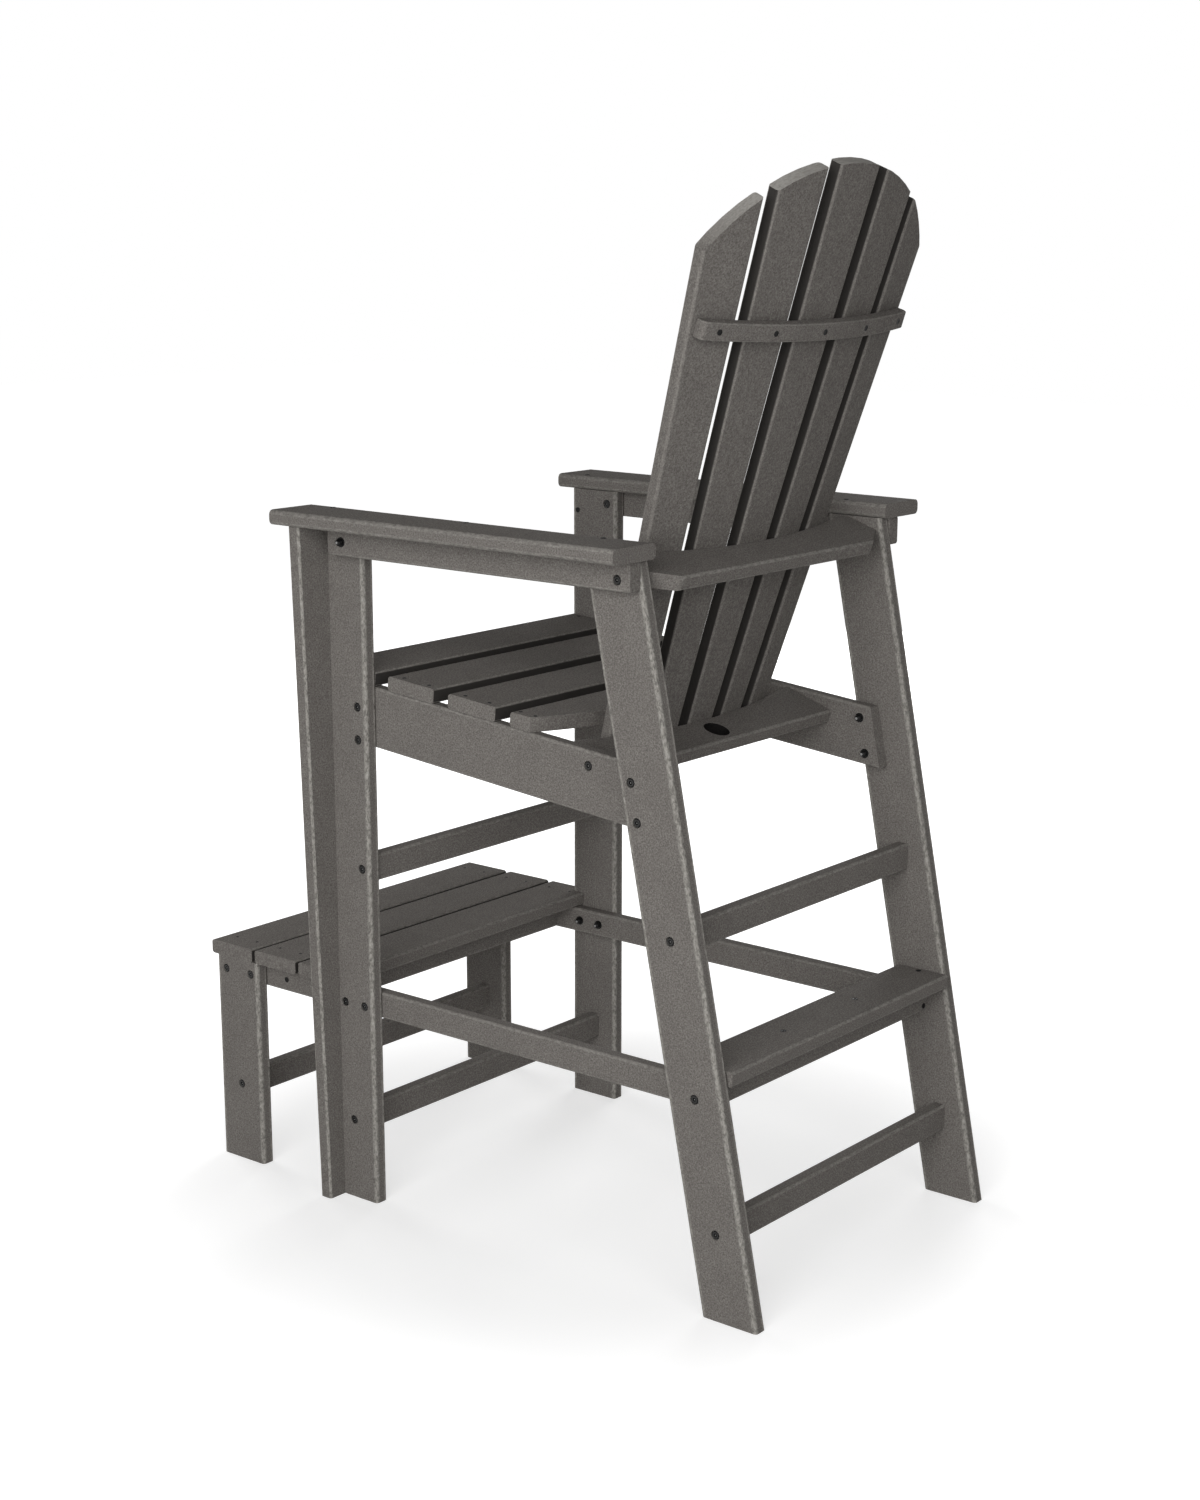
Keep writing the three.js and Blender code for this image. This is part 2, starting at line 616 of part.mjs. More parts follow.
// Where a point of the front view falls on the slat's plane
function onSlat(plane, x, z) {
  const rise = (z - plane.origin.z) / plane.alongSlat.z;
  const sideways = (x - plane.origin.x - rise * plane.alongSlat.x) / plane.acrossSlat.x;
  return new THREE.Vector2(sideways, rise);
}

// Brings a geometry that lies on a slat's plane to its place in the back
function placedOn(plane, geometry) {
  const { origin, acrossSlat, alongSlat, outward } = plane;
  const turn = new THREE.Matrix4().makeBasis(acrossSlat, alongSlat, outward);
  return solidOf(geometry.applyMatrix4(turn).translate(origin.x, origin.y, origin.z));
}

function backSlat(index) {
  const plane = slatPlane(index);
  const [footLeft, footRight] = slatEdgesAt(index, -SLAT_DROP - OVERRUN);
  const [topLeft, topRight] = slatEdgesAt(index, CROWN_RISE + OVERRUN);
  const outline = new THREE.Shape([
    onSlat(plane, footLeft, -SLAT_DROP - OVERRUN),
    onSlat(plane, footRight, -SLAT_DROP - OVERRUN),
    onSlat(plane, topRight, CROWN_RISE + OVERRUN),
    onSlat(plane, topLeft, CROWN_RISE + OVERRUN),
  ]);
  const rough = new THREE.ExtrudeGeometry(outline, {
    depth: BACK_SLAT_THICKNESS - EDGE_RADIUS - EDGE_RADIUS,
    bevelThickness: EDGE_RADIUS,
    bevelSize: EDGE_RADIUS,
    bevelOffset: -EDGE_RADIUS,
    bevelSegments: EDGE_STEPS + EDGE_STEPS,
  });
  return placedOn(plane, rough.translate(0, 0, EDGE_RADIUS)).intersect(sawnOutline(index, plane));
}

// The arched top that the slats are sawn to, and their level feet, as a prism through one slat. The cut
// slants up toward the sitter, and the outermost slats stand a little higher.
function sawnOutline(index, plane) {
  const top = CROWN_RISE + (Math.abs(index) > 1 ? OUTER_CROWN_LIFT : 0);
  const crown = Array.from({ length: CROWN_STEPS + 1 }, (_, step) => {
    const angle = (2 * QUARTER_TURN * step) / CROWN_STEPS;
    const rise = top - CROWN_RADIUS + CROWN_RADIUS * Math.sin(angle);
    return onSlat(plane, CROWN_RADIUS * Math.cos(angle), rise);
  });
  const feet = [-CROWN_RADIUS, CROWN_RADIUS].map((x) => onSlat(plane, x, -SLAT_DROP));
  const kept = extruded(new THREE.Shape([...crown, ...feet]), PLANK_THICKNESS + OVERRUN, 1);
  kept.translate(0, 0, -OVERRUN * HALF);
  kept.applyMatrix4(new THREE.Matrix4().makeShear(0, 0, 0, 0, 0, Math.tan(CROWN_SLANT)));
  return placedOn(plane, kept);
}

// Side rails run from the footrest to the rung under the step
function sideRail(side) {
  const rungFace = LAGS.treadRung.y - PLANK_THICKNESS * HALF;
  const rail = board("y", {
    x: span(side, stringerInnerX, insideX),
    y: [-FOOTREST_REACH, rungFace],
    z: [RAIL_TOP - RAIL_WIDTH, RAIL_TOP],
  });
  const bolts = [...BOLTS.railFront, ...BOLTS.railFootrest];
  return without(rail, shankHoles(side, bolts, [stringerInnerX, insideX]));
}

function footrestLeg(side) {
  const leg = board("z", {
    x: span(side, insideX, legOuterX),
    y: [-FOOTREST_REACH, PLANK_WIDTH - FOOTREST_REACH],
    z: [0, RAIL_TOP],
  });
  return without(leg, [
    ...shankHoles(side, BOLTS.railFootrest, [insideX, legOuterX]),
    ...outerRecesses(side, [...BOLTS.railFootrest, LAGS.footrestStretcher], legOuterX),
  ]);
}

// A rail-width board on edge across the chair
function crossRail(halfLength, middleY, low) {
  return board("x", {
    x: across(halfLength),
    y: around(middleY, PLANK_THICKNESS),
    z: [low, low + RAIL_WIDTH],
  });
}

function footrestSlat(index) {
  const start = index * (PLANK_WIDTH + FOOTREST_GAP) - FOOTREST_REACH - FOOTREST_OVERHANG;
  return board("x", {
    x: across(legOuterX),
    y: [start, start + PLANK_WIDTH],
    z: [RAIL_TOP, RAIL_TOP + PLANK_THICKNESS],
  });
}

// The rearmost footrest slat is notched to pass between the front legs
function notchedFootrestSlat(index) {
  const notches = [1, -1].map((side) =>
    block({
      x: span(side, insideX - FIT_GAP, legOuterX + OVERRUN),
      y: [-FIT_GAP, PLANK_WIDTH],
      z: [RAIL_TOP - OVERRUN, RAIL_TOP + PLANK_THICKNESS + OVERRUN],
    }),
  );
  return without(footrestSlat(index), notches);
}

function stepTread() {
  const top = RAIL_TOP + PLANK_THICKNESS;
  const rear = rearLegFront(top - PLANK_THICKNESS * HALF) + rearLegRunWidth + TREAD_REAR_OVERHANG;
  return board("x", {
    x: across(insideX - TREAD_END_GAP),
    y: [rear - PLANK_WIDTH, rear],
    z: [RAIL_TOP, top],
  });
}

// The outline of a bolt's head, from its underside up, with a round socket
function headOutline() {
  return [
    new THREE.Vector2(HEAD_RADIUS, 0),
    new THREE.Vector2(HEAD_RADIUS, HEAD_THICKNESS - HEAD_EDGE),
    new THREE.Vector2(HEAD_RADIUS - HEAD_EDGE, HEAD_THICKNESS),
    new THREE.Vector2(SOCKET_RADIUS, HEAD_THICKNESS),
    new THREE.Vector2(SOCKET_RADIUS, HEAD_THICKNESS - SOCKET_DEPTH),
    new THREE.Vector2(0, HEAD_THICKNESS - SOCKET_DEPTH),
  ];
}

// The outline of the domed nut on the bolt's other end, from its tip up to the shank
function nutOutline(grip) {
  const rise = NUT_HEIGHT - NUT_FLANGE;
  const dome = Array.from({ length: DOME_STEPS + 1 }, (_, step) => {
    const angle = (QUARTER_TURN * step) / DOME_STEPS;
    const height = grip + NUT_FLANGE + rise * Math.cos(angle);
    return new THREE.Vector2(NUT_DOME_RADIUS * Math.sin(angle), -height);
  });
  dome[0].x = 0;
  return [
    ...dome,
    new THREE.Vector2(NUT_RADIUS, -grip - NUT_FLANGE),
    new THREE.Vector2(NUT_RADIUS, -grip),
    new THREE.Vector2(SHANK_RADIUS, -grip),
  ];
}

function pointOutline(grip) {
  return [
    new THREE.Vector2(0, -grip - SHANK_RADIUS),
    new THREE.Vector2(SHANK_RADIUS, -grip),
  ];
}

// A bolt along x. Its head points to the sign given, and its head's underside is at seatX.
function bolt(headSign, seatX, spot, endOutline) {
  const outline = [...endOutline, new THREE.Vector2(SHANK_RADIUS, 0), ...headOutline()];
  const geometry = new THREE.LatheGeometry(outline, BOLT_STEPS);
  geometry.rotateZ(-headSign * QUARTER_TURN);
  geometry.translate(seatX, spot.y, spot.z);
  return solidOf(geometry);
}

// Bolts through two boards, with the head in the outer face and the nut on the inner one
function addThroughBolts(side, name, places) {
  const seatX = legOuterX - COUNTERBORE_DEPTH;
  places.forEach((spot, index) => {
    const solid = bolt(side, side * seatX, spot, nutOutline(seatX - stringerInnerX));
    addPiece(chair, `${name}_${index + 1}`, solid, blackSteel());
  });
}

// The arm rail's front bolt has its nut on the outside, and its rear one runs into the upper support
function addArmBolts(side, name) {
  const headX = insideX + COUNTERBORE_DEPTH;
  const frontEnd = nutOutline(armRailOuterX - headX);
  const front = bolt(-side, side * headX, BOLTS.armFront[0], frontEnd);
  addPiece(chair, `${name}_arm_bolt_front`, front, blackSteel());
  const rearX = armRailOuterX - COUNTERBORE_DEPTH;
  const rearEnd = pointOutline(rearX - insideX + LAG_REACH - SHANK_RADIUS - FIT_GAP);
  const rear = bolt(side, side * rearX, LAGS.upperSupport, rearEnd);
  addPiece(chair, `${name}_arm_bolt_rear`, rear, blackSteel());
}

function addSide(side, name) {
  addPiece(chair, `${name}_front_leg_side_board`, frontLegSideBoard(side));
  addPiece(chair, `${name}_front_leg_front_board`, frontLegFrontBoard(side));
  addPiece(chair, `${name}_rear_leg`, rearLeg(side));
  addPiece(chair, `${name}_armrest`, armrest(side));
  addPiece(chair, `${name}_arm_rail`, armRail(side));
  addPiece(seat, `${name}_seat_stringer`, seatStringer(side));
  addPiece(chair, `${name}_side_rail`, sideRail(side));
  addPiece(chair, `${name}_footrest_leg`, footrestLeg(side));
  addThroughBolts(side, `${name}_seat_bolt_front`, BOLTS.seatFront);
  addThroughBolts(side, `${name}_seat_bolt_rear`, BOLTS.seatRear);
  addThroughBolts(side, `${name}_rail_bolt`, BOLTS.railFront);
  addThroughBolts(side, `${name}_footrest_bolt`, BOLTS.railFootrest);
  addArmBolts(side, name);
}

function addSeatSlats() {
  const pitch = PLANK_WIDTH + SEAT_SLAT_GAP;
  const firstStart = SECOND_SLAT_SPACE - FIRST_SEAT_GAP - PLANK_WIDTH;
  const lastStart = SECOND_SLAT_SPACE + pitch + pitch;
  addPiece(seat, "seat_slat_1", seatSlat(firstStart, insideX - FIT_GAP));
  addPiece(seat, "seat_slat_2", seatSlat(SECOND_SLAT_SPACE, insideX));
  addPiece(seat, "seat_slat_3", seatSlat(SECOND_SLAT_SPACE + pitch, insideX));
  addPiece(seat, "seat_slat_4", lastSeatSlat(lastStart));
}

function addBack() {
  addPiece(back, "lower_back_support", lowerSupport());
  addPiece(back, "upper_back_support", upperSupport());
  addPiece(back, "back_brace", backBrace());
  [-2, -1, 0, 1, 2].forEach((index, count) => {
    addPiece(back, `back_slat_${count + 1}`, backSlat(index));
  });
}

function addFootrest() {
  const frontApronY = FRONT_APRON_INSET + PLANK_THICKNESS * HALF - FOOTREST_REACH;
  const rearApronY = -REAR_APRON_LEG_SPACE - PLANK_THICKNESS * HALF;
  const low = RAIL_TOP - RAIL_WIDTH;
  addPiece(chair, "footrest_slat_1", footrestSlat(0));
  addPiece(chair, "footrest_slat_2", footrestSlat(1));
  addPiece(chair, "footrest_slat_3", notchedFootrestSlat(2));
  addPiece(chair, "footrest_apron_front", crossRail(stringerInnerX, frontApronY, low));
  addPiece(chair, "footrest_apron_rear", crossRail(stringerInnerX, rearApronY, low));
  addPiece(chair, "footrest_stretcher", crossRail(insideX, footrestLegMiddleY, LOW_RUNG_HEIGHT));
}

function addRungs() {
  addPiece(chair, "upper_front_stretcher", crossRail(insideX, stretcherMiddleY.high, HIGH_RUNG_HEIGHT));
  addPiece(chair, "lower_front_stretcher", crossRail(insideX, stretcherMiddleY.low, LOW_RUNG_HEIGHT));
  addPiece(chair, "upper_rear_rung", crossRail(insideX, LAGS.highRung.y, HIGH_RUNG_HEIGHT));
  addPiece(chair, "lower_rear_rung", crossRail(insideX, LAGS.lowRung.y, LOW_RUNG_HEIGHT));
  addPiece(chair, "tread_rung", crossRail(insideX, LAGS.treadRung.y, RAIL_TOP - RAIL_WIDTH));
  addPiece(chair, "step_tread", stepTread());
}

addSide(1, "left");
addSide(-1, "right");
addSeatSlats();
addBack();
addFootrest();
addRungs();

// Centre the chair over its footprint
const footprint = new THREE.Box3().setFromObject(chair);
chair.position.y = -(footprint.min.y + footprint.max.y) * HALF;

export default chair;
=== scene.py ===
"""Looks of a raised lifeguard chair of grey plastic lumber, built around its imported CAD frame."""

import json
import logging
import math
from dataclasses import dataclass, field
from enum import Enum
from typing import Callable

import bpy
import numpy as np
from mathutils import Matrix, Vector

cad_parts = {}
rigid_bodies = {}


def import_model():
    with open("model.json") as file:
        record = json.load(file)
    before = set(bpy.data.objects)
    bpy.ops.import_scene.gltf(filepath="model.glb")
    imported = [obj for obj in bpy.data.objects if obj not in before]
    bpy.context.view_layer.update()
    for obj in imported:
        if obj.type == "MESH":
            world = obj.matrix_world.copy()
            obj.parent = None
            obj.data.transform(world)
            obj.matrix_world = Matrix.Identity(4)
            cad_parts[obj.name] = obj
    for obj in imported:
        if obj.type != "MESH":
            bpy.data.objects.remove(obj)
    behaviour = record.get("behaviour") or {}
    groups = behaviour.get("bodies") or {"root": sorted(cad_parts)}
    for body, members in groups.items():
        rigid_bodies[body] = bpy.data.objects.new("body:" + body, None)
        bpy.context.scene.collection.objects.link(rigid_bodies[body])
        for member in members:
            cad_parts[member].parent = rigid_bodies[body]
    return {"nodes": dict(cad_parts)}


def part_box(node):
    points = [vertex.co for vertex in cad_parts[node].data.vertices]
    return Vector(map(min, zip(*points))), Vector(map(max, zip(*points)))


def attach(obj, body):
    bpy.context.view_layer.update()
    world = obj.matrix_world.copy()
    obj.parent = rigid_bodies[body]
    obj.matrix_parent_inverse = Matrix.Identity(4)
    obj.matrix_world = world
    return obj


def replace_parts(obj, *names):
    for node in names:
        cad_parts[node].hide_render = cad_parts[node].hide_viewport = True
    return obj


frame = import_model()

BODY = "root"
MILLIMETRE = 0.001
# Name of the face attribute that marks painted glints on fasteners.
PAINTED_GLINT = "painted_glint"
UP = Vector((0, 0, 1))
Triple = tuple[float, float, float]
Colour = Triple
Socket = bpy.types.NodeSocket

log = logging.getLogger("lifeguard_chair")


class Slot(Enum):
    """Material slots of the record."""

    LUMBER = "lumber"
    BOLTS = "bolts"


class Side(Enum):
    """Sides of the chair, as the sitter has them, with the sign of x."""

    LEFT = 1
    RIGHT = -1

    @property
    def label(self) -> str:
        """The word that starts the names of this side's pieces."""
        return self.name.lower()


def gap_directions(count: int, last: int, step: Triple) -> tuple[Triple, ...]:
    """The one or two directions in which a slat of a row has a neighbour, and so gets painted shade on that side. Slats
    count from 1, along the step.
    """
    return tuple(tuple(sign * part for part in step) for sign in (1, -1) if 1 <= count + sign <= last)


def srgb(red: int, green: int, blue: int) -> Colour:
    """A display colour, with parts from 0 to 255, as linear light."""
    return tuple(((c / 255 + 0.055) / 1.055) ** 2.4 for c in (red, green, blue))


@dataclass(frozen=True)
class Grain:
    """How a noise looks: its features a metre, its finer layers, their strength, and its warp."""

    scale: float
    detail: float = 2.0
    roughness: float = 0.5
    distortion: float = 0.0


class Sheet:
    """The node sheet of a material or a world, with short ways to add and join nodes."""

    def __init__(self, owner: bpy.types.Material | bpy.types.World) -> None:
        """Empties the owner's sheet."""
        owner.use_nodes = True
        self.owner = owner
        self.tree = owner.node_tree
        self.tree.nodes.clear()
        kind = "World" if isinstance(owner, bpy.types.World) else "Material"
        self.output = self.add(f"Output{kind}")

    def add(self, kind: str, **settings: object) -> bpy.types.Node:
        """Adds a node, whose type is named without its ShaderNode, and sets its attributes."""
        node = self.tree.nodes.new(f"ShaderNode{kind}")
        for key, value in settings.items():
            setattr(node, key, value)
        return node

    def feed(self, socket: Socket, value: object) -> None:
        """Joins an output to a socket, or sets the socket to a constant."""
        if isinstance(value, bpy.types.NodeSocket):
            self.tree.links.new(value, socket)
        else:
            socket.default_value = value

    def fill(self, node: bpy.types.Node, **given: object) -> None:
        """Feeds inputs by their names, with an underscore for each space."""
        for name, value in given.items():
            self.feed(node.inputs[name.replace("_", " ")], value)

    def parts(self, vector: Socket) -> list[Socket]:
        """The x, y and z of a vector."""
        node = self.add("SeparateXYZ")
        self.feed(node.inputs[0], vector)
        return list(node.outputs)

    def math(self, operation: str, *values: object, clamp: bool = False) -> Socket:
        """The result of a Math node on sockets or numbers, kept from 0 to 1 if it is clamped."""
        node = self.add("Math", operation=operation, use_clamp=clamp)
        for socket, value in zip(node.inputs, values):
            self.feed(socket, value)
        return node.outputs[0]

    def ramp(self, value: object, low: float, high: float, to_low: float = 0.0, to_high: float = 1.0) -> Socket:
        """A smooth step of a value between two limits, with the results at and past them."""
        node = self.add("MapRange", interpolation_type="SMOOTHSTEP", clamp=True)
        self.fill(node, Value=value, From_Min=low, From_Max=high, To_Min=to_low, To_Max=to_high)
        return node.outputs["Result"]

    def noise(self, vector: Socket, grain: Grain) -> Socket:
        """Soft noise, from 0 to 1 around a half."""
        node = self.add("TexNoise")
        self.fill(node, Vector=vector, Scale=grain.scale, Detail=grain.detail)
        self.fill(node, Roughness=grain.roughness, Distortion=grain.distortion)
        return node.outputs["Fac"]

    def stretched(self, vector: Socket, factors: Triple, turn: Triple = (0, 0, 0)) -> Socket:
        """Coordinates turned by angles in radians, and scaled by a factor on each axis."""
        node = self.add("Mapping", vector_type="POINT")
        self.fill(node, Vector=vector, Scale=factors, Rotation=turn)
        return node.outputs["Vector"]

    def blend(self, share: object, first: object, second: object) -> Socket:
        """A blend of two colours, with the share of the second."""
        node = self.add("Mix", data_type="RGBA", clamp_factor=True)
        colours = [s for s in node.inputs if s.type == "RGBA"]
        self.feed(node.inputs["Factor"], share)
        for socket, value in zip(colours, (first, second)):
            self.feed(socket, (*value, 1.0) if isinstance(value, tuple) else value)
        return next(s for s in node.outputs if s.type == "RGBA")

    def bumped(self, height: Socket, distance: float, strength: float) -> Socket:
        """A normal from a height from 0 to 1. The distance from lowest to highest is in metres."""
        node = self.add("Bump")
        self.fill(node, Strength=strength, Distance=distance, Height=height)
        return node.outputs["Normal"]

    def waver(self, vector: Socket, grain: Grain, middle: float, size: float) -> Socket:
        """Noise less its middle, times a size."""
        return self.math("MULTIPLY", self.math("SUBTRACT", self.noise(vector, grain), middle), size)

    def surface(self, colour: Socket, roughness: Socket, sheen: float, normal: Socket) -> bpy.types.Material:
        """Ends the sheet with one plain surface."""
        shader = self.add("BsdfPrincipled")
        self.fill(shader, Base_Color=colour, Roughness=roughness, Specular_IOR_Level=sheen, Normal=normal)
        return self.finish(shader.outputs["BSDF"])

    def finish(self, shader: Socket) -> bpy.types.Material | bpy.types.World:
        """Joins the last shader to the output."""
        self.feed(self.output.inputs["Surface"], shader)
        return self.owner


@dataclass(frozen=True)
class BoardAxes:
    """Where a board lies: its middle and its own directions along, across and through."""

    middle: Vector
    along: Vector
    across: Vector
    through: Vector
    half: Vector

    @classmethod
    def of(cls, node: bpy.types.Object) -> "BoardAxes":
        """Finds a board's directions from the areas of its faces."""
        corners = np.array([v.co for v in node.data.vertices], float)
        first, second, third = np.array([corners[list(p.vertices[:3])] for p in node.data.polygons]).transpose(1, 0, 2)
        doubled = np.cross(second - first, third - first)
        areas = np.linalg.norm(doubled, axis=1)
        kept = areas > areas.max() * 1e-7
        normals, areas = doubled[kept] / areas[kept, None], areas[kept]
        through = cls._main_direction(normals, areas)
        beside = np.abs(normals @ through) < 0.05
        across = cls._main_direction(normals[beside], areas[beside], cls._long_axis(corners, through))
        across -= through * (across @ through)
        across /= np.linalg.norm(across)
        along = np.cross(across, through)
        turn = np.array([along, across, through])
        own = corners @ turn.T
        middle = turn.T @ ((own.min(0) + own.max(0)) / 2)
        half = (own.max(0) - own.min(0)) / 2
        return cls(Vector(middle), Vector(along), Vector(across), Vector(through), Vector(half))

    @staticmethod
    def _long_axis(corners: np.ndarray, through: np.ndarray) -> np.ndarray:
        """The direction in the board's plane in which it is longest."""
        flat = corners - corners.mean(0)
        flat -= np.outer(flat @ through, through)
        return np.linalg.svd(flat, full_matrices=False)[2][0]

    @staticmethod
    def _main_direction(normals: np.ndarray, areas: np.ndarray, not_along: np.ndarray | None = None) -> np.ndarray:
        """The direction that most area faces, either way, averaged over near ones, less a direction's own faces."""
        weights = areas.copy()
        if not_along is not None:
            weights[np.abs(normals @ not_along) > 0.3] = 0
        near_cosine = 0.9986
        shares = np.abs(normals @ normals.T) > near_cosine
        best = normals[np.argmax(shares @ weights)]
        near = (np.abs(normals @ best) > near_cosine) * weights
        total = (normals * (np.sign(normals @ best) * near)[:, None]).sum(0)
        return total / np.linalg.norm(total)

    @property
    def turn(self) -> Matrix:
        """The rotation from the row frame into the board's own directions."""
        return Matrix((self.along, self.across, self.through))


@dataclass(frozen=True)
class Hole:
    """A round hole drilled square through a board. Lengths in metres."""

    centre: Triple
    radius: float


@dataclass(frozen=True)
class BoardCut:
    """How one board's edges and ends are finished, and where shade is painted on its sides and in its hole. Lengths in
    metres.

    The band is how far from a long edge the paler chatter and painted highlight reach on the faces, and the gap
    directions are those in which a side looks into a narrow gap and gets painted shade.
    """

    # Share of the paler edge colour, partly machined plastic and partly painted highlight.
    pale_edge_and_highlight_share: float = 0.45
    band: float = 0.0
    pale_ends: bool = False
    gap_directions: tuple[Triple, ...] = ()
    hole: Hole | None = None


@dataclass(frozen=True)
class LumberFinish:
    """Slate-grey recycled plastic: a finely pebbled skin, with paler chattered edges that also carry a painted
    highlight, and sawn ends.
    """

    skin: Colour = srgb(116, 112, 108)
    pit: Colour = srgb(92, 88, 85)
    grain: Colour = srgb(140, 137, 132)
    # Paler edge colour: partly machined plastic, partly painted highlight.
    machined_and_highlight: Colour = srgb(158, 155, 149)
    machined_and_highlight_dark: Colour = srgb(104, 101, 97)
    chip: Colour = srgb(188, 186, 180)
    sawn: Colour = srgb(168, 165, 160)
    sawn_dark: Colour = srgb(148, 145, 140)
    # Painted shade on slat sides that look into narrow gaps.
    gap: Colour = srgb(58, 56, 54)
    # Painted shade on the wall of a drilled hole.
    painted_hole_shade: Colour = srgb(30, 29, 28)
    roughness: float = 0.8
    sheen: float = 0.01
    speckle: Grain = Grain(450, 2, 0.75)
    speckle_share: float = 0.8
    patches: Grain = Grain(26)
    patch_share: float = 0.14
    ticks: Grain = Grain(300, 3, 0.7, 0.4)
    tick_stretch: Triple = (0.5, 1.0, 1.0)
    chip_share: float = 0.75
    teeth: Grain = Grain(380, 3, 0.6)
    teeth_stretch: Triple = (1.0, 0.12, 1.0)
    edge_waver: Grain = Grain(170, 3, 0.6)
    edge_waver_size: float = 0.03
    edge_waver_middle: float = 0.55
    edge_slant: float = 0.035
    band_waver: Grain = Grain(240, 3, 0.6)
    dull_patches: Grain = Grain(90, 3, 0.6)
    pebbles: Grain = Grain(480, 2, 0.6)
    pebble_height: float = 0.8
    chatter: Grain = Grain(230, 3, 0.6, 0.5)
    chatter_stretch: Triple = (0.8, 0.4, 0.4)
    chatter_height: float = 2.2
    cutter_turn: Triple = (0.0, 0.5, 0.7)
    relief: float = 0.6 * MILLIMETRE
    relief_strength: float = 0.6

    def material(self, name: str, axes: BoardAxes, seed: float, cut: BoardCut) -> bpy.types.Material:
        """The finish of one board, laid along it. The seed sets its pattern apart from the others'."""
        sheet = Sheet(bpy.data.materials.new(name))
        place, normal = self._own_frame(sheet, axes, seed)
        edge, end = self._masks(sheet, place, normal)
        if cut.band:
            edge = sheet.math("MAXIMUM", edge, self._band(sheet, place, axes, cut.band))
        # The paler edges are partly machined plastic and partly painted highlight.
        edge = sheet.math("MULTIPLY", edge, cut.pale_edge_and_highlight_share)
        colour = self._colour(sheet, place, edge, end, cut.pale_ends)
        # Painted shade on the sides that look into narrow gaps.
        for direction in cut.gap_directions:
            colour = sheet.blend(self._painted_gap_shade_mask(sheet, direction), colour, self.gap)
        # Painted shade on the wall of the drilled hole.
        if cut.hole:
            colour = sheet.blend(self._painted_hole_shade_mask(sheet, place, axes, seed, cut.hole), colour, self.painted_hole_shade)
        roughness = self._roughness(sheet, place, edge)
        return sheet.surface(colour, roughness, self.sheen, self._normal(sheet, place, edge, end))

    def _own_frame(self, sheet: Sheet, axes: BoardAxes, seed: float) -> tuple[Socket, Socket]:
        """Coordinates and normal in the board's own directions, with the pattern moved along by the seed."""
        source = sheet.add("TexCoord")
        turn = axes.turn.to_euler("XYZ")
        place = sheet.add("Mapping", vector_type="POINT")
        shift = Vector((seed, 0, 0)) - axes.turn @ axes.middle
        sheet.fill(place, Vector=source.outputs["Object"], Rotation=turn, Location=shift)
        normal = sheet.add("Mapping", vector_type="VECTOR")
        sheet.fill(normal, Vector=source.outputs["Normal"], Rotation=turn)
        return place.outputs["Vector"], normal.outputs["Vector"]

    def _masks(self, sheet: Sheet, place: Socket, normal: Socket) -> tuple[Socket, Socket]:
        """Where the surface is a rounded edge, and where it is a sawn end."""
        endwise, _, facewise = sheet.parts(normal)
        endwise, facewise = sheet.math("ABSOLUTE", endwise), sheet.math("ABSOLUTE", facewise)
        flat_share = sheet.math("MULTIPLY", facewise, facewise)
        edgewise = sheet.math("SQRT", sheet.math("SUBTRACT", 1.0, flat_share, clamp=True))
        flatness = sheet.math("MAXIMUM", edgewise, facewise)
        waver = sheet.waver(place, self.edge_waver, self.edge_waver_middle, self.edge_waver_size)
        slant = sheet.math("ADD", sheet.math("SUBTRACT", 1.0, flatness), waver)
        return sheet.ramp(slant, 0.0, self.edge_slant), sheet.ramp(endwise, 0.6, 0.9)

    def _band(self, sheet: Sheet, place: Socket, axes: BoardAxes, reach: float) -> Socket:
        """A soft strip beside the long edges of a board of one width, as wide as the reach in metres, for the paler
        chatter and painted highlight.
        """
        _, across, through = sheet.parts(place)
        beside = sheet.math("SUBTRACT", axes.half.y, sheet.math("ABSOLUTE", across))
        below = sheet.math("SUBTRACT", axes.half.z, sheet.math("ABSOLUTE", through))
        waver = sheet.waver(place, self.band_waver, 0.5, 0.45 * reach)
        distance = sheet.math("ADD", sheet.math("ADD", beside, below), waver)
        return sheet.ramp(distance, 0.55 * reach, 1.1 * reach, 1.0, 0.0)

    def _painted_gap_shade_mask(self, sheet: Sheet, direction: Triple) -> Socket:
        """Where a slat's side looks into the narrow gap beside it, which gets painted shade."""
        towards = sheet.add("VectorMath", operation="DOT_PRODUCT")
        sheet.feed(towards.inputs[0], sheet.add("TexCoord").outputs["Normal"])
        towards.inputs[1].default_value = direction
        return sheet.ramp(towards.outputs["Value"], 0.76, 0.98)

    def _painted_hole_shade_mask(self, sheet: Sheet, place: Socket, axes: BoardAxes, seed: float, hole: Hole) -> Socket:
        """Where the surface is the wall of a hole drilled through the board, which gets painted shade."""
        centre = axes.turn @ (Vector(hole.centre) - axes.middle)
        along, across, _ = sheet.parts(place)
        offsets = (sheet.math("SUBTRACT", along, centre.x + seed), sheet.math("SUBTRACT", across, centre.y))
        squares = [sheet.math("MULTIPLY", offset, offset) for offset in offsets]
        distance = sheet.math("SQRT", sheet.math("ADD", *squares))
        return sheet.ramp(distance, hole.radius + 0.1 * MILLIMETRE, hole.radius + 0.5 * MILLIMETRE, 1.0, 0.0)

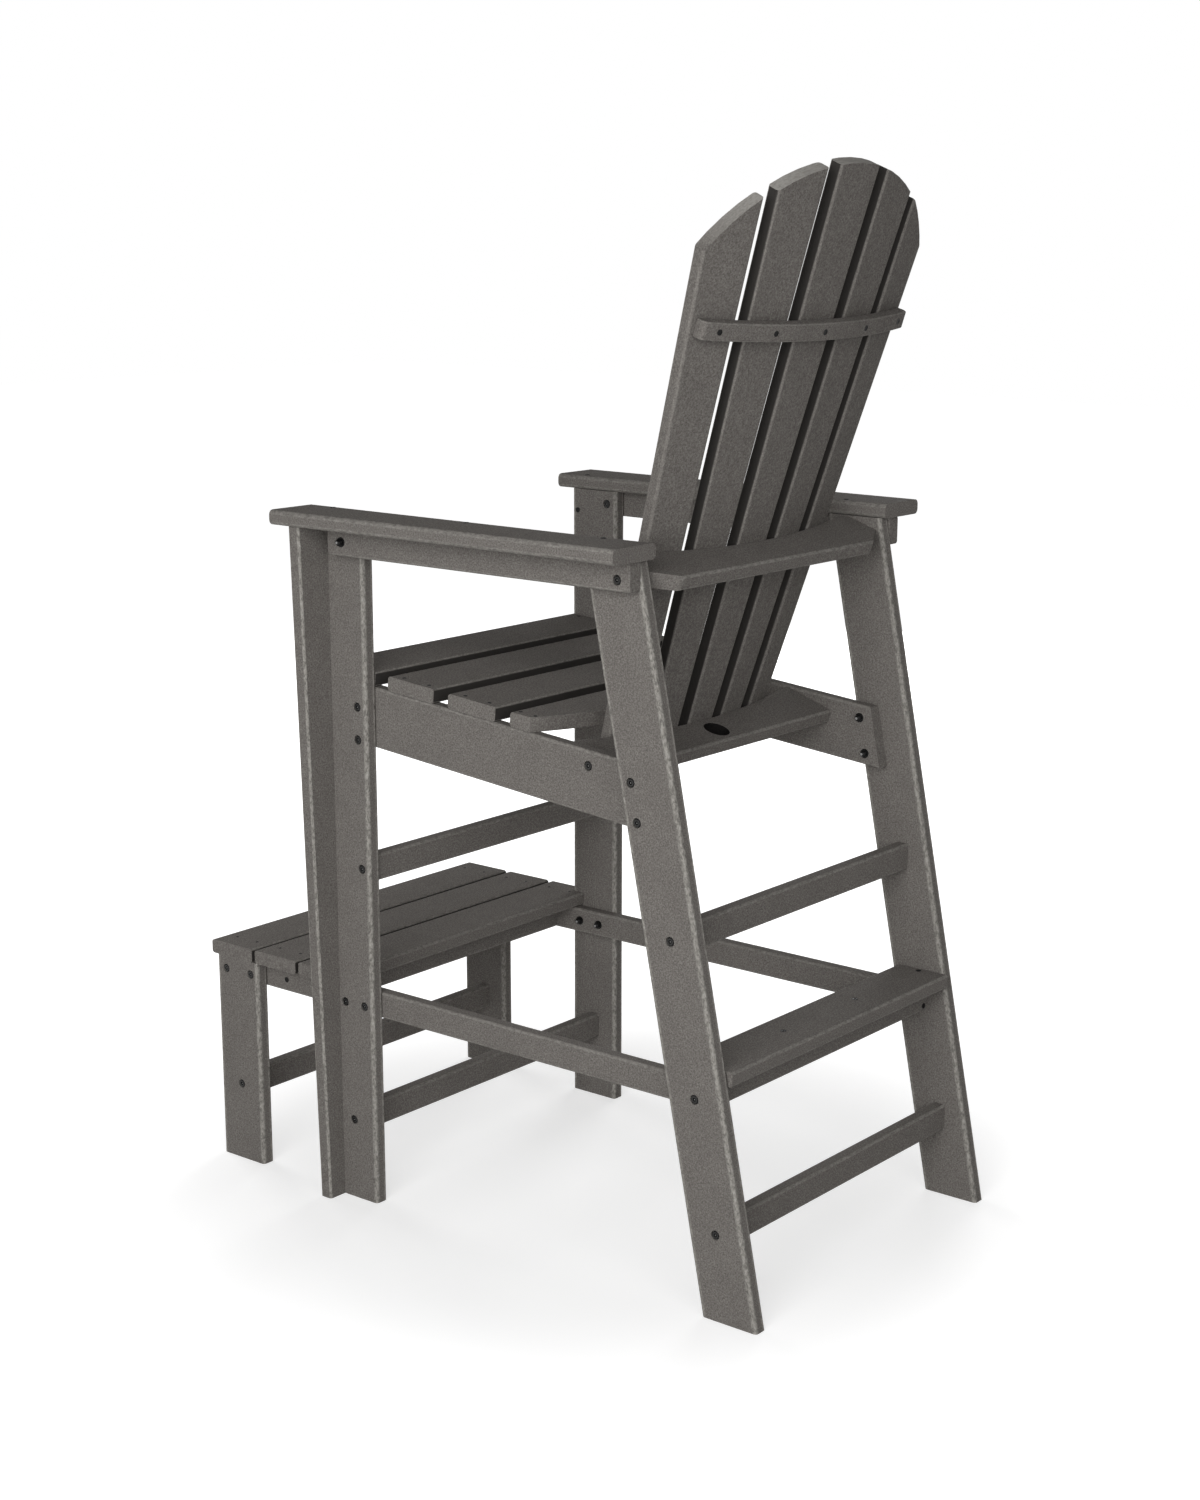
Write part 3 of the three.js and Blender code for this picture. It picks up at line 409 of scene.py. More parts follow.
    def _colour(self, sheet: Sheet, place: Socket, edge: Socket, end: Socket, pale_ends: bool) -> Socket:
        """An even skin with fine grain, then the paler edges, partly machined plastic and partly painted highlight, and
        the paler sawn ends.
        """
        speckle = sheet.noise(place, self.speckle)
        skin = sheet.blend(sheet.ramp(speckle, 0.5, 0.66, 0.0, self.speckle_share), self.skin, self.grain)
        skin = sheet.blend(sheet.ramp(speckle, 0.5, 0.34, 0.0, self.speckle_share), skin, self.pit)
        patches = sheet.noise(place, self.patches)
        skin = sheet.blend(sheet.ramp(patches, 0.3, 0.7, 0.0, self.patch_share), skin, self.pit)
        ticks = sheet.noise(sheet.stretched(place, self.tick_stretch, self.cutter_turn), self.ticks)
        # Edge colour: machined chatter with a painted highlight.
        machined_and_highlight = sheet.blend(sheet.ramp(ticks, 0.3, 0.62), self.machined_and_highlight_dark, self.machined_and_highlight)
        machined_and_highlight = sheet.blend(sheet.ramp(ticks, 0.6, 0.74, 0.0, self.chip_share), machined_and_highlight, self.chip)
        rounded = sheet.blend(edge, skin, machined_and_highlight)
        if not pale_ends:
            return rounded
        teeth = sheet.noise(sheet.stretched(place, self.teeth_stretch), self.teeth)
        sawn = sheet.blend(sheet.ramp(teeth, 0.3, 0.65), self.sawn_dark, self.sawn)
        return sheet.blend(end, rounded, sawn)

    def _roughness(self, sheet: Sheet, place: Socket, edge: Socket) -> Socket:
        """A dull skin with slightly shinier patches, and edges that shine a little more."""
        noise = sheet.noise(place, self.dull_patches)
        patches = sheet.ramp(noise, 0.35, 0.65, self.roughness - 0.05, self.roughness + 0.07)
        return sheet.math("SUBTRACT", patches, sheet.math("MULTIPLY", edge, 0.06), clamp=True)

    def _normal(self, sheet: Sheet, place: Socket, edge: Socket, end: Socket) -> Socket:
        """Fine pebbling on the skin, and chatter marks on the edges."""
        pebbles = sheet.noise(place, self.pebbles)
        chatter = sheet.noise(sheet.stretched(place, self.chatter_stretch, self.cutter_turn), self.chatter)
        rough_share = sheet.math("MULTIPLY", sheet.math("MAXIMUM", edge, end), self.chatter_height)
        rough_part = sheet.math("MULTIPLY", chatter, rough_share)
        height = sheet.math("ADD", sheet.math("MULTIPLY", pebbles, self.pebble_height), rough_part)
        return sheet.bumped(height, self.relief, self.relief_strength)


@dataclass(frozen=True)
class SteelFinish:
    """Grained black steel, with painted glints on faces marked for them if it has a glint colour."""

    coat: Colour
    worn: Colour
    grain: Grain
    roughness: tuple[float, float]
    sheen: float
    relief: float
    # Colour of the painted glints on the marked faces.
    glint_colour: Colour | None = None

    def material(self, name: str) -> bpy.types.Material:
        """The finish of one kind of fastener."""
        sheet = Sheet(bpy.data.materials.new(name))
        grain = sheet.noise(sheet.add("TexCoord").outputs["Object"], self.grain)
        colour = sheet.blend(sheet.ramp(grain, 0.5, 0.75), self.coat, self.worn)
        # Painted glints where faces are marked.
        if self.glint_colour:
            painted_glint = sheet.add("Attribute", attribute_type="GEOMETRY", attribute_name=PAINTED_GLINT).outputs["Fac"]
            colour = sheet.blend(painted_glint, colour, self.glint_colour)
        roughness = sheet.ramp(grain, 0.3, 0.7, *self.roughness)
        return sheet.surface(colour, roughness, self.sheen, sheet.bumped(grain, self.relief, 0.5))


BOLT_FINISH = SteelFinish(
    coat=(0.004, 0.004, 0.004),
    worn=(0.012, 0.012, 0.012),
    grain=Grain(900, 3, 0.6),
    roughness=(0.26, 0.42),
    sheen=0.16,
    relief=0.12 * MILLIMETRE,
    # Painted glint colour.
    glint_colour=(0.3, 0.3, 0.295),
)
DUSTY_SCREW_FINISH = SteelFinish(
    coat=(0.004, 0.004, 0.004),
    worn=(0.018, 0.017, 0.016),
    grain=Grain(1400, 3, 0.6),
    roughness=(0.5, 0.7),
    sheen=0.15,
    relief=0.1 * MILLIMETRE,
)


@dataclass(frozen=True)
class Lamp:
    """One square soft light that faces the chair's middle. Lengths in metres."""

    name: str
    place: Triple
    size: float
    power: float


@dataclass(frozen=True)
class Studio:
    """A pale floor, soft lights and the camera at the photograph's viewing angle. Lengths in metres."""

    eye: Triple = (2.73125, 2.24576, 1.46506)
    yaw: float = 232.22
    pitch: float = -14.42
    roll: float = 0.43
    focal_pixels: float = 2437.26
    axis_pixel: tuple[float, float] = (661.16, 827.66)
    image: tuple[int, int] = (1200, 1500)
    sensor: float = 36.0
    far_clip: float = 100.0
    floor_half_size: float = 14.0
    floor_shade: Colour = (0.6, 0.6, 0.6)
    # Floor glow: dimmer near the chair as a painted shadow, bright further out.
    painted_shadow_glow: float = 0.545
    far_glow: float = 0.95
    painted_shadow_reach: tuple[float, float] = (0.45, 1.0)
    world_strength: float = 0.13
    lamps: tuple[Lamp, ...] = (
        Lamp("key_light", (4.1, 1.6, 2.2), 3.0, 106),
        Lamp("low_light", (4.8, 1.0, 1.3), 2.4, 40),
        Lamp("rear_light", (2.5, 4.4, 2.1), 2.6, 56),
        Lamp("right_fill", (-4.7, -1.4, 1.1), 2.2, 150),
        Lamp("front_fill", (-0.9, -5.0, 1.1), 2.2, 160),
    )
    lit_spot: Triple = (0, 0, 0.8)

    def build(self) -> None:
        """Makes the camera, the lights, the world and the floor."""
        self._camera()
        self._world()
        self._floor()
        for lamp in self.lamps:
            self._lamp(lamp)
        bpy.context.scene.view_settings.view_transform = "Standard"

    def _camera(self) -> None:
        """Places the camera with its shift."""
        data = bpy.data.cameras.new("photo_camera")
        camera = bpy.data.objects.new("photo_camera", data)
        bpy.context.scene.collection.objects.link(camera)
        yaw, pitch, roll = (math.radians(a) for a in (self.yaw, self.pitch, self.roll))
        forward = Vector((math.sin(yaw) * math.cos(pitch), math.cos(yaw) * math.cos(pitch), math.sin(pitch)))
        level = forward.cross(UP).normalized()
        rise = level.cross(forward)
        right = level * math.cos(roll) + rise * math.sin(roll)
        up = rise * math.cos(roll) - level * math.sin(roll)
        turn = Matrix((right, up, -forward)).transposed().to_4x4()
        camera.matrix_world = Matrix.Translation(self.eye) @ turn
        longer = max(self.image)
        data.sensor_width = self.sensor
        data.lens = self.focal_pixels / longer * self.sensor
        data.shift_x = (self.image[0] / 2 - self.axis_pixel[0]) / longer
        data.shift_y = (self.axis_pixel[1] - self.image[1] / 2) / longer
        data.clip_end = self.far_clip
        bpy.context.scene.camera = camera

    @staticmethod
    def _seen(sheet: Sheet) -> Socket:
        """One where a ray comes from the camera, through glass or off a mirror, and nought elsewhere."""
        path = sheet.add("LightPath")
        seen = sheet.math("MAXIMUM", path.outputs["Is Camera Ray"], path.outputs["Is Transmission Ray"])
        return sheet.math("MAXIMUM", seen, path.outputs["Is Glossy Ray"])

    def _world(self) -> None:
        """White where it is seen or mirrored, and softer as light."""
        sheet = Sheet(bpy.data.worlds.new("studio"))
        background = sheet.add("Background")
        strength = sheet.ramp(self._seen(sheet), 0.0, 1.0, self.world_strength)
        sheet.fill(background, Color=(1, 1, 1, 1), Strength=strength)
        bpy.context.scene.world = sheet.finish(background.outputs[0])

    def _floor(self) -> None:
        """A pale floor that keeps the chair's cast shadow, with a dimmer glow near the chair that paints shadow under
        it.
        """
        bpy.ops.object.select_all(action="DESELECT")
        bpy.ops.mesh.primitive_plane_add(size=2 * self.floor_half_size, location=(0, 0, 0))
        floor = bpy.context.active_object
        floor.name = "studio_floor"
        sheet = Sheet(bpy.data.materials.new("studio_floor"))
        diffuse = sheet.add("BsdfDiffuse")
        sheet.fill(diffuse, Color=(*self.floor_shade, 1))
        reach = sheet.add("VectorMath", operation="LENGTH")
        sheet.feed(reach.inputs[0], sheet.add("TexCoord").outputs["Object"])
        # Dimmer glow near the chair paints shadow under it.
        glow_with_painted_shadow = sheet.ramp(reach.outputs["Value"], *self.painted_shadow_reach, self.painted_shadow_glow, self.far_glow)
        glow = sheet.add("Emission")
        sheet.fill(glow, Color=(1, 1, 1, 1), Strength=sheet.math("MULTIPLY", self._seen(sheet), glow_with_painted_shadow))
        both = sheet.add("AddShader")
        for socket, shader in zip(both.inputs, (diffuse, glow)):
            sheet.feed(socket, shader.outputs[0])
        floor.data.materials.append(sheet.finish(both.outputs[0]))

    def _lamp(self, lamp: Lamp) -> None:
        """Hangs one lamp, turned to the chair."""
        data = bpy.data.lights.new(lamp.name, "AREA")
        data.size = lamp.size
        data.energy = lamp.power
        item = bpy.data.objects.new(lamp.name, data)
        bpy.context.scene.collection.objects.link(item)
        aim = (Vector(self.lit_spot) - Vector(lamp.place)).to_track_quat("-Z", "Y")
        item.matrix_world = Matrix.Translation(lamp.place) @ aim.to_matrix().to_4x4()


def select_only(items: list[bpy.types.Object]) -> None:
    """Selects these objects alone, with the first one active."""
    bpy.ops.object.select_all(action="DESELECT")
    for item in items:
        item.select_set(True)
    bpy.context.view_layer.objects.active = items[0]


def joined(items: list[bpy.types.Object]) -> bpy.types.Object:
    """Joins objects into the first of them."""
    select_only(items)
    if len(items) > 1:
        bpy.ops.object.join()
    return bpy.context.active_object


def add_bevel(piece: bpy.types.Object, name: str, width: float, angle: float) -> None:
    """Adds a rounded bevel along the edges that turn by more than an angle, in radians."""
    bevel = piece.modifiers.new(name, "BEVEL")
    bevel.width = width
    bevel.segments = 2
    bevel.limit_method = "ANGLE"
    bevel.angle_limit = angle


def middle_of(name: str) -> Vector:
    """The middle of a node's box."""
    low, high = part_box(name)
    return (low + high) / 2


@dataclass
class Workshop:
    """Keeps the CAD nodes and the finishes, and dresses boards and fasteners. Lengths in metres."""

    nodes: dict[str, bpy.types.Object]
    lumber: LumberFinish = field(default_factory=LumberFinish)
    merge_distance: float = 0.01 * MILLIMETRE
    wider_board: str = "back_slat_3"
    wider_by: float = 1.4 * MILLIMETRE
    corner_softening: float = 0.7 * MILLIMETRE
    corner_angle: float = math.radians(60)
    seed_step: float = 3.7
    boards_dressed: int = 0

    def __post_init__(self) -> None:
        """Makes what all sub-assemblies share."""
        self.steel = BOLT_FINISH.material("black_steel")
        self.dull_steel = DUSTY_SCREW_FINISH.material("dull_black_steel")
        self.smoothing = self._smoothing_tree("merged_and_smooth")
        self.wider_smoothing = self._smoothing_tree("merged_smooth_and_wider", self.wider_by)

    def _smoothing_tree(self, name: str, growth: float = 0.0) -> bpy.types.NodeTree:
        """Geometry nodes that merge loose triangles and shade them smooth.

        The growth is how far faces that look along x move outwards, in metres.
        """
        tree = bpy.data.node_groups.new(name, "GeometryNodeTree")
        tree.interface.new_socket("Geometry", in_out="INPUT", socket_type="NodeSocketGeometry")
        tree.interface.new_socket("Geometry", in_out="OUTPUT", socket_type="NodeSocketGeometry")
        chain = [
            tree.nodes.new("NodeGroupInput"),
            tree.nodes.new("GeometryNodeMergeByDistance"),
            tree.nodes.new("GeometryNodeSetShadeSmooth"),
            tree.nodes.new("NodeGroupOutput"),
        ]
        chain[1].inputs["Distance"].default_value = self.merge_distance
        if growth:
            outward = tree.nodes.new("ShaderNodeVectorMath")
            outward.operation = "MULTIPLY"
            outward.inputs[1].default_value = (growth, 0, 0)
            tree.links.new(tree.nodes.new("GeometryNodeInputNormal").outputs[0], outward.inputs[0])
            mover = tree.nodes.new("GeometryNodeSetPosition")
            tree.links.new(outward.outputs[0], mover.inputs["Offset"])
            chain.insert(2, mover)
        for source, target in zip(chain, chain[1:]):
            tree.links.new(source.outputs[0], target.inputs[0])
        return tree

    def dress_board(self, name: str, cut: BoardCut = BoardCut()) -> None:
        """Gives a CAD board its finish, softened edges and even shading."""
        node = self.nodes[name]
        self.boards_dressed += 1
        seed = self.boards_dressed * self.seed_step
        self._give(node, self.lumber.material(f"lumber_{name}", BoardAxes.of(node), seed, cut))
        smoothing = self.wider_smoothing if name == self.wider_board else self.smoothing
        node.modifiers.new("merged", "NODES").node_group = smoothing
        add_bevel(node, "softened", self.corner_softening, self.corner_angle)
        weighted = node.modifiers.new("even", "WEIGHTED_NORMAL")
        weighted.mode = "FACE_AREA"
        weighted.weight = 50
        weighted.keep_sharp = False
        log.info("board %s", name)

    @staticmethod
    def _give(piece: bpy.types.Object, material: bpy.types.Material) -> None:
        """Puts a material in all of a piece's slots."""
        if not piece.material_slots:
            piece.data.materials.append(material)
        for held in piece.material_slots:
            held.material = material

    def own(self, piece: bpy.types.Object, name: str, material: bpy.types.Material) -> bpy.types.Object:
        """Names a finished fastener, gives it its finish and sets it on the chair."""
        piece.name = name
        piece.data.name = name
        self._give(piece, material)
        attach(piece, BODY)
        return piece


@dataclass
class Pattern:
    """One fastener part that is modelled once, facing +Z at the origin, and copied."""

    mesh: bpy.types.Mesh

    @staticmethod
    def from_bench(name: str) -> "Pattern":
        """Takes the active object off the bench as a pattern."""
        bench = bpy.context.active_object
        bpy.ops.object.transform_apply(location=True, rotation=True, scale=True)
        mesh = bench.data.copy()
        mesh.name = name
        bpy.data.objects.remove(bench)
        return Pattern(mesh)

    def copies(self, name: str, places: list[Matrix]) -> bpy.types.Object:
        """One object that holds a copy at each place."""
        made = []
        for place in places:
            mesh = self.mesh.copy()
            mesh.transform(place)
            item = bpy.data.objects.new(name, mesh)
            bpy.context.scene.collection.objects.link(item)
            made.append(item)
        return joined(made)


def facing(spot: Vector, direction: Vector, twist: float = 0.0) -> Matrix:
    """The place of a pattern whose +Z is turned to a direction, with a twist about it in radians."""
    turn = direction.to_track_quat("Z", "Y").to_matrix().to_4x4()
    return Matrix.Translation(spot) @ turn @ Matrix.Rotation(twist, 4, "Z")


@dataclass(frozen=True)
class SteelParts:
    """Fastener parts as they stand on a face that looks along +Z. Lengths in metres."""

    flange_radius: float = 6.4 * MILLIMETRE
    flange_height: float = 1.3 * MILLIMETRE
    head_height: float = 3.6 * MILLIMETRE
    button_radius: float = 5.5 * MILLIMETRE
    button_height: float = 3.2 * MILLIMETRE
    button_steps: tuple[tuple[float, float], ...] = ((0.4, 0.3 * MILLIMETRE), (0.6, 0.1 * MILLIMETRE))
    rim_radii: tuple[float, float] = (2.7 * MILLIMETRE, 3.5 * MILLIMETRE)
    # Share of painted glint on the socket's rim.
    rim_glint: float = 0.08
    socket_depth: float = 1.7 * MILLIMETRE
    pin_radius: float = 1.0 * MILLIMETRE
    pin_height: float = 3.3 * MILLIMETRE
    # Share of painted glint on the pin's top.
    pin_glint: float = 0.5
    nut_flange_radius: float = 7.0 * MILLIMETRE
    nut_flange_height: float = 1.5 * MILLIMETRE
    nut_hex_radius: float = 6.0 * MILLIMETRE
    nut_hex_heights: tuple[float, float] = (1.0 * MILLIMETRE, 5.0 * MILLIMETRE)
    nut_height: float = 9.5 * MILLIMETRE
    dome_radius: float = 4.9 * MILLIMETRE
    dome_sink: float = 0.4 * MILLIMETRE
    # How far down from the dome's tip its painted glint reaches.
    tip_depth: float = 0.55 * MILLIMETRE
    shank_radius: float = 4.0 * MILLIMETRE
    shank_top: float = 0.3 * MILLIMETRE
    lag_reach: float = 45.0 * MILLIMETRE
    screw_radius: float = 4.1 * MILLIMETRE
    screw_heights: tuple[float, float] = (-1.2 * MILLIMETRE, 0.6 * MILLIMETRE)
    screw_rim: float = 0.4 * MILLIMETRE
    screw_dish: float = 0.15 * MILLIMETRE
    screw_land: float = 1.3 * MILLIMETRE
    screw_recess: float = 0.35 * MILLIMETRE
    round_steps: int = 32
    small_steps: int = 24
    smooth_angle: float = math.radians(38)
    rim_angle: float = math.radians(50)
    same_height: float = 0.01 * MILLIMETRE

    def head(self) -> Pattern:
        """A washer head with a round button, a socket and a pin in it, with painted glints on the pin and the socket's
        rim. Its seat is at z 0.
        """
        self._disc(self.flange_radius, 0.0, self.flange_height, self.round_steps, 0.4 * MILLIMETRE)
        self._button()
        pin = self._disc(self.pin_radius, self.flange_height, self.pin_height, 12, 0.2 * MILLIMETRE)
        # Painted glint on the pin's top.
        self._rub(pin, self.pin_glint, lambda centre: centre.z > 0.8 * self.head_height)
        return self._joined("head")

    def _button(self) -> None:
        """Adds the head's round button with its socket, whose rim gets a painted glint."""
        button = self._blank(self.button_radius, 0.5 * self.flange_height, self.button_height, self.small_steps)
        self._open_top(button, self.button_height)
        inner, outer = self.rim_radii
        for share, rise in self.button_steps:
            bpy.ops.mesh.inset(thickness=share * (self.button_radius - outer))
            bpy.ops.transform.translate(value=(0, 0, rise))
        bpy.ops.mesh.inset(thickness=outer - inner)
        bpy.ops.mesh.extrude_region_move(TRANSFORM_OT_translate={"value": (0, 0, -self.socket_depth)})
        bpy.ops.object.mode_set(mode="OBJECT")
        rim_height = self.head_height - 0.05 * MILLIMETRE
        # Painted glint on the socket's rim.
        self._rub(button, self.rim_glint, lambda centre: centre.z > rim_height and centre.to_2d().length > inner)

    def nut(self) -> Pattern:
        """A flanged hexagon with a dome, with a painted glint on the dome's tip. Its seat is at z 0."""
        self._disc(self.nut_flange_radius, 0.0, self.nut_flange_height, self.round_steps, 0.4 * MILLIMETRE)
        self._disc(self.nut_hex_radius, *self.nut_hex_heights, 6, 0.6 * MILLIMETRE)
        self._dome()
        return self._joined("nut")

    def _dome(self) -> None:
        """Adds the nut's dome, from inside the hexagon to its tip."""
        bpy.ops.object.select_all(action="DESELECT")
        bpy.ops.mesh.primitive_uv_sphere_add(segments=24, ring_count=16, radius=self.dome_radius)
        dome = bpy.context.active_object
        dome.name = "bench_part"
        bpy.ops.object.mode_set(mode="EDIT")
        bpy.ops.mesh.select_all(action="SELECT")
        bpy.ops.mesh.bisect(plane_co=(0, 0, 0), plane_no=(0, 0, 1), clear_inner=True, use_fill=True)
        bpy.ops.object.mode_set(mode="OBJECT")
        base = self.nut_hex_heights[1] - self.dome_sink
        dome.scale = (1, 1, (self.nut_height - base) / self.dome_radius)
        dome.location = (0, 0, base)
        # Painted glint on the dome's tip.
        self._rub(dome, 1.0, lambda centre: centre.z > self.nut_height - self.tip_depth)

    def screw(self) -> Pattern:
        """A flat screw head with a round recess, that stands just proud of the face at z 0."""
        low, high = self.screw_heights
        self._open_top(self._blank(self.screw_radius, low, high, self.small_steps), high)
        bpy.ops.mesh.inset(thickness=self.screw_rim)
        bpy.ops.transform.translate(value=(0, 0, -self.screw_dish))
        bpy.ops.mesh.inset(thickness=self.screw_land)
        bpy.ops.mesh.extrude_region_move(TRANSFORM_OT_translate={"value": (0, 0, -self.screw_recess)})
        bpy.ops.object.mode_set(mode="OBJECT")
        return self._joined("screw")

    def shank(self, length: float) -> Pattern:
        """A plain round shank that runs down from z 0."""
        self._disc(self.shank_radius, -length, self.shank_top, 20, 0.8 * MILLIMETRE)
        return self._joined("shank")

    @staticmethod
    def _blank(radius: float, low: float, high: float, steps: int) -> bpy.types.Object:
        """Adds a round or many-sided block from one height to another. Its radius is to the corners."""
        bpy.ops.object.select_all(action="DESELECT")
        bpy.ops.mesh.primitive_cylinder_add(
            vertices=steps, radius=radius, depth=high - low, location=(0, 0, (low + high) / 2)
        )
        block = bpy.context.active_object
        block.name = "bench_part"
        return block

    def _disc(self, radius: float, low: float, high: float, steps: int, chamfer: float) -> bpy.types.Object:
        """Adds a block whose rims are bevelled by the chamfer's width."""
        block = self._blank(radius, low, high, steps)
        add_bevel(block, "rim", chamfer, self.rim_angle)
        bpy.ops.object.modifier_apply(modifier="rim")
        return block

    def _open_top(self, block: bpy.types.Object, height: float) -> None:
        """Goes into edit mode with the faces at a height selected."""
        bpy.ops.object.transform_apply(location=True, rotation=True, scale=True)
        bpy.ops.object.mode_set(mode="EDIT")
        bpy.ops.mesh.select_mode(type="FACE")
        bpy.ops.mesh.select_all(action="DESELECT")
        bpy.ops.object.mode_set(mode="OBJECT")
        for face in block.data.polygons:
            face.select = abs(face.center.z - height) < self.same_height
        bpy.ops.object.mode_set(mode="EDIT")

    @staticmethod
    def _rub(part: bpy.types.Object, glint_share: float, has_glint: Callable[[Vector], bool]) -> None:
        """Marks the faces whose centres pass the test for a painted glint, by a share from 0 to 1."""
        bpy.ops.object.transform_apply(location=True, rotation=True, scale=True)
        marks = part.data.attributes.new(PAINTED_GLINT, "FLOAT", "FACE")
        marks.data.foreach_set("value", [glint_share * has_glint(face.center) for face in part.data.polygons])

    def _joined(self, name: str) -> Pattern:
        """Joins what lies on the bench and takes it off as a pattern."""
        parts = [item for item in bpy.context.scene.objects if item.name.startswith("bench_part")]
        select_only(parts)
        bpy.ops.object.transform_apply(location=True, rotation=True, scale=True)
        joined(parts)
        bpy.ops.object.shade_smooth_by_angle(angle=self.smooth_angle)
        return Pattern.from_bench(name)


@dataclass
class Hardware:
    """The fasteners' patterns, and the ways to place them."""

    workshop: Workshop
    parts: SteelParts = field(default_factory=SteelParts)

    def __post_init__(self) -> None:
        """Models each pattern once."""
        self.head = self.parts.head()
        self.nut = self.parts.nut()
        self.screw = self.parts.screw()

    @staticmethod
    def _twist(y: float, z: float) -> float:
        """A turn, in radians, that differs from one bolt's place to another's."""
        return (y * 37 + z * 11) % 1.0

    def through_bolt(self, node: str, head_sign: int) -> None:
        """Stands a fine bolt in for a coarse one, from its head on the side of the sign to its domed nut."""
        low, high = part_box(node)
        ends = {1: high.x, -1: low.x}
        middle = middle_of(node)
        outward = Vector((head_sign, 0, 0))
        head_seat = Vector((ends[head_sign] - head_sign * self.parts.head_height, middle.y, middle.z))
        nut_seat = Vector((ends[-head_sign] + head_sign * self.parts.nut_height, middle.y, middle.z))
        twist = self._twist(middle.y, middle.z)
        shank = self.parts.shank(abs(head_seat.x - nut_seat.x))
        bolt = joined([
            self.head.copies("bolt", [facing(head_seat, outward, twist)]),
            self.nut.copies("bolt", [facing(nut_seat, -outward, twist)]),
            shank.copies("bolt", [facing(head_seat, outward)]),
        ])
        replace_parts(self.workshop.own(bolt, f"{node}_fine", self.workshop.steel), node)
        log.info("bolt %s", node)

    def lag(self, name: str, face_x: float, y: float, z: float, sign: int, replaced: str | None = None) -> None:
        """A lag bolt whose head is sunk in a board's outer face, in place of a CAD node if one is named."""
        seat = Vector((face_x, y, z))
        outward = Vector((sign, 0, 0))
        shank = self.parts.shank(self.parts.lag_reach)
        bolt = joined([
            self.head.copies("lag", [facing(seat, outward, self._twist(y, z))]),
            shank.copies("lag", [facing(seat, outward)]),
        ])
        self.workshop.own(bolt, name, self.workshop.steel)
        if replaced:
            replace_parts(bolt, replaced)
        log.info("lag %s", name)

    def screws(self, board: str, points: list[Vector], outward: Vector, size: float = 1.0) -> None:
        """Wood screws driven into a board's face, where lines through the points meet it."""
        node = self.workshop.nodes[board]
        places = []
        for count, point in enumerate(points):
            hit, spot, normal, _ = node.ray_cast(point + outward * 0.5, -outward)
            if not hit:
                log.warning("no face for a screw of %s at %s", board, tuple(point))
                continue
            places.append(facing(spot, normal, 0.9 * count) @ Matrix.Scale(size, 4))
        name = f"{board}_screws"
        self.workshop.own(self.screw.copies(name, places), name, self.workshop.dull_steel)
        log.info("screws %s: %d", name, len(places))


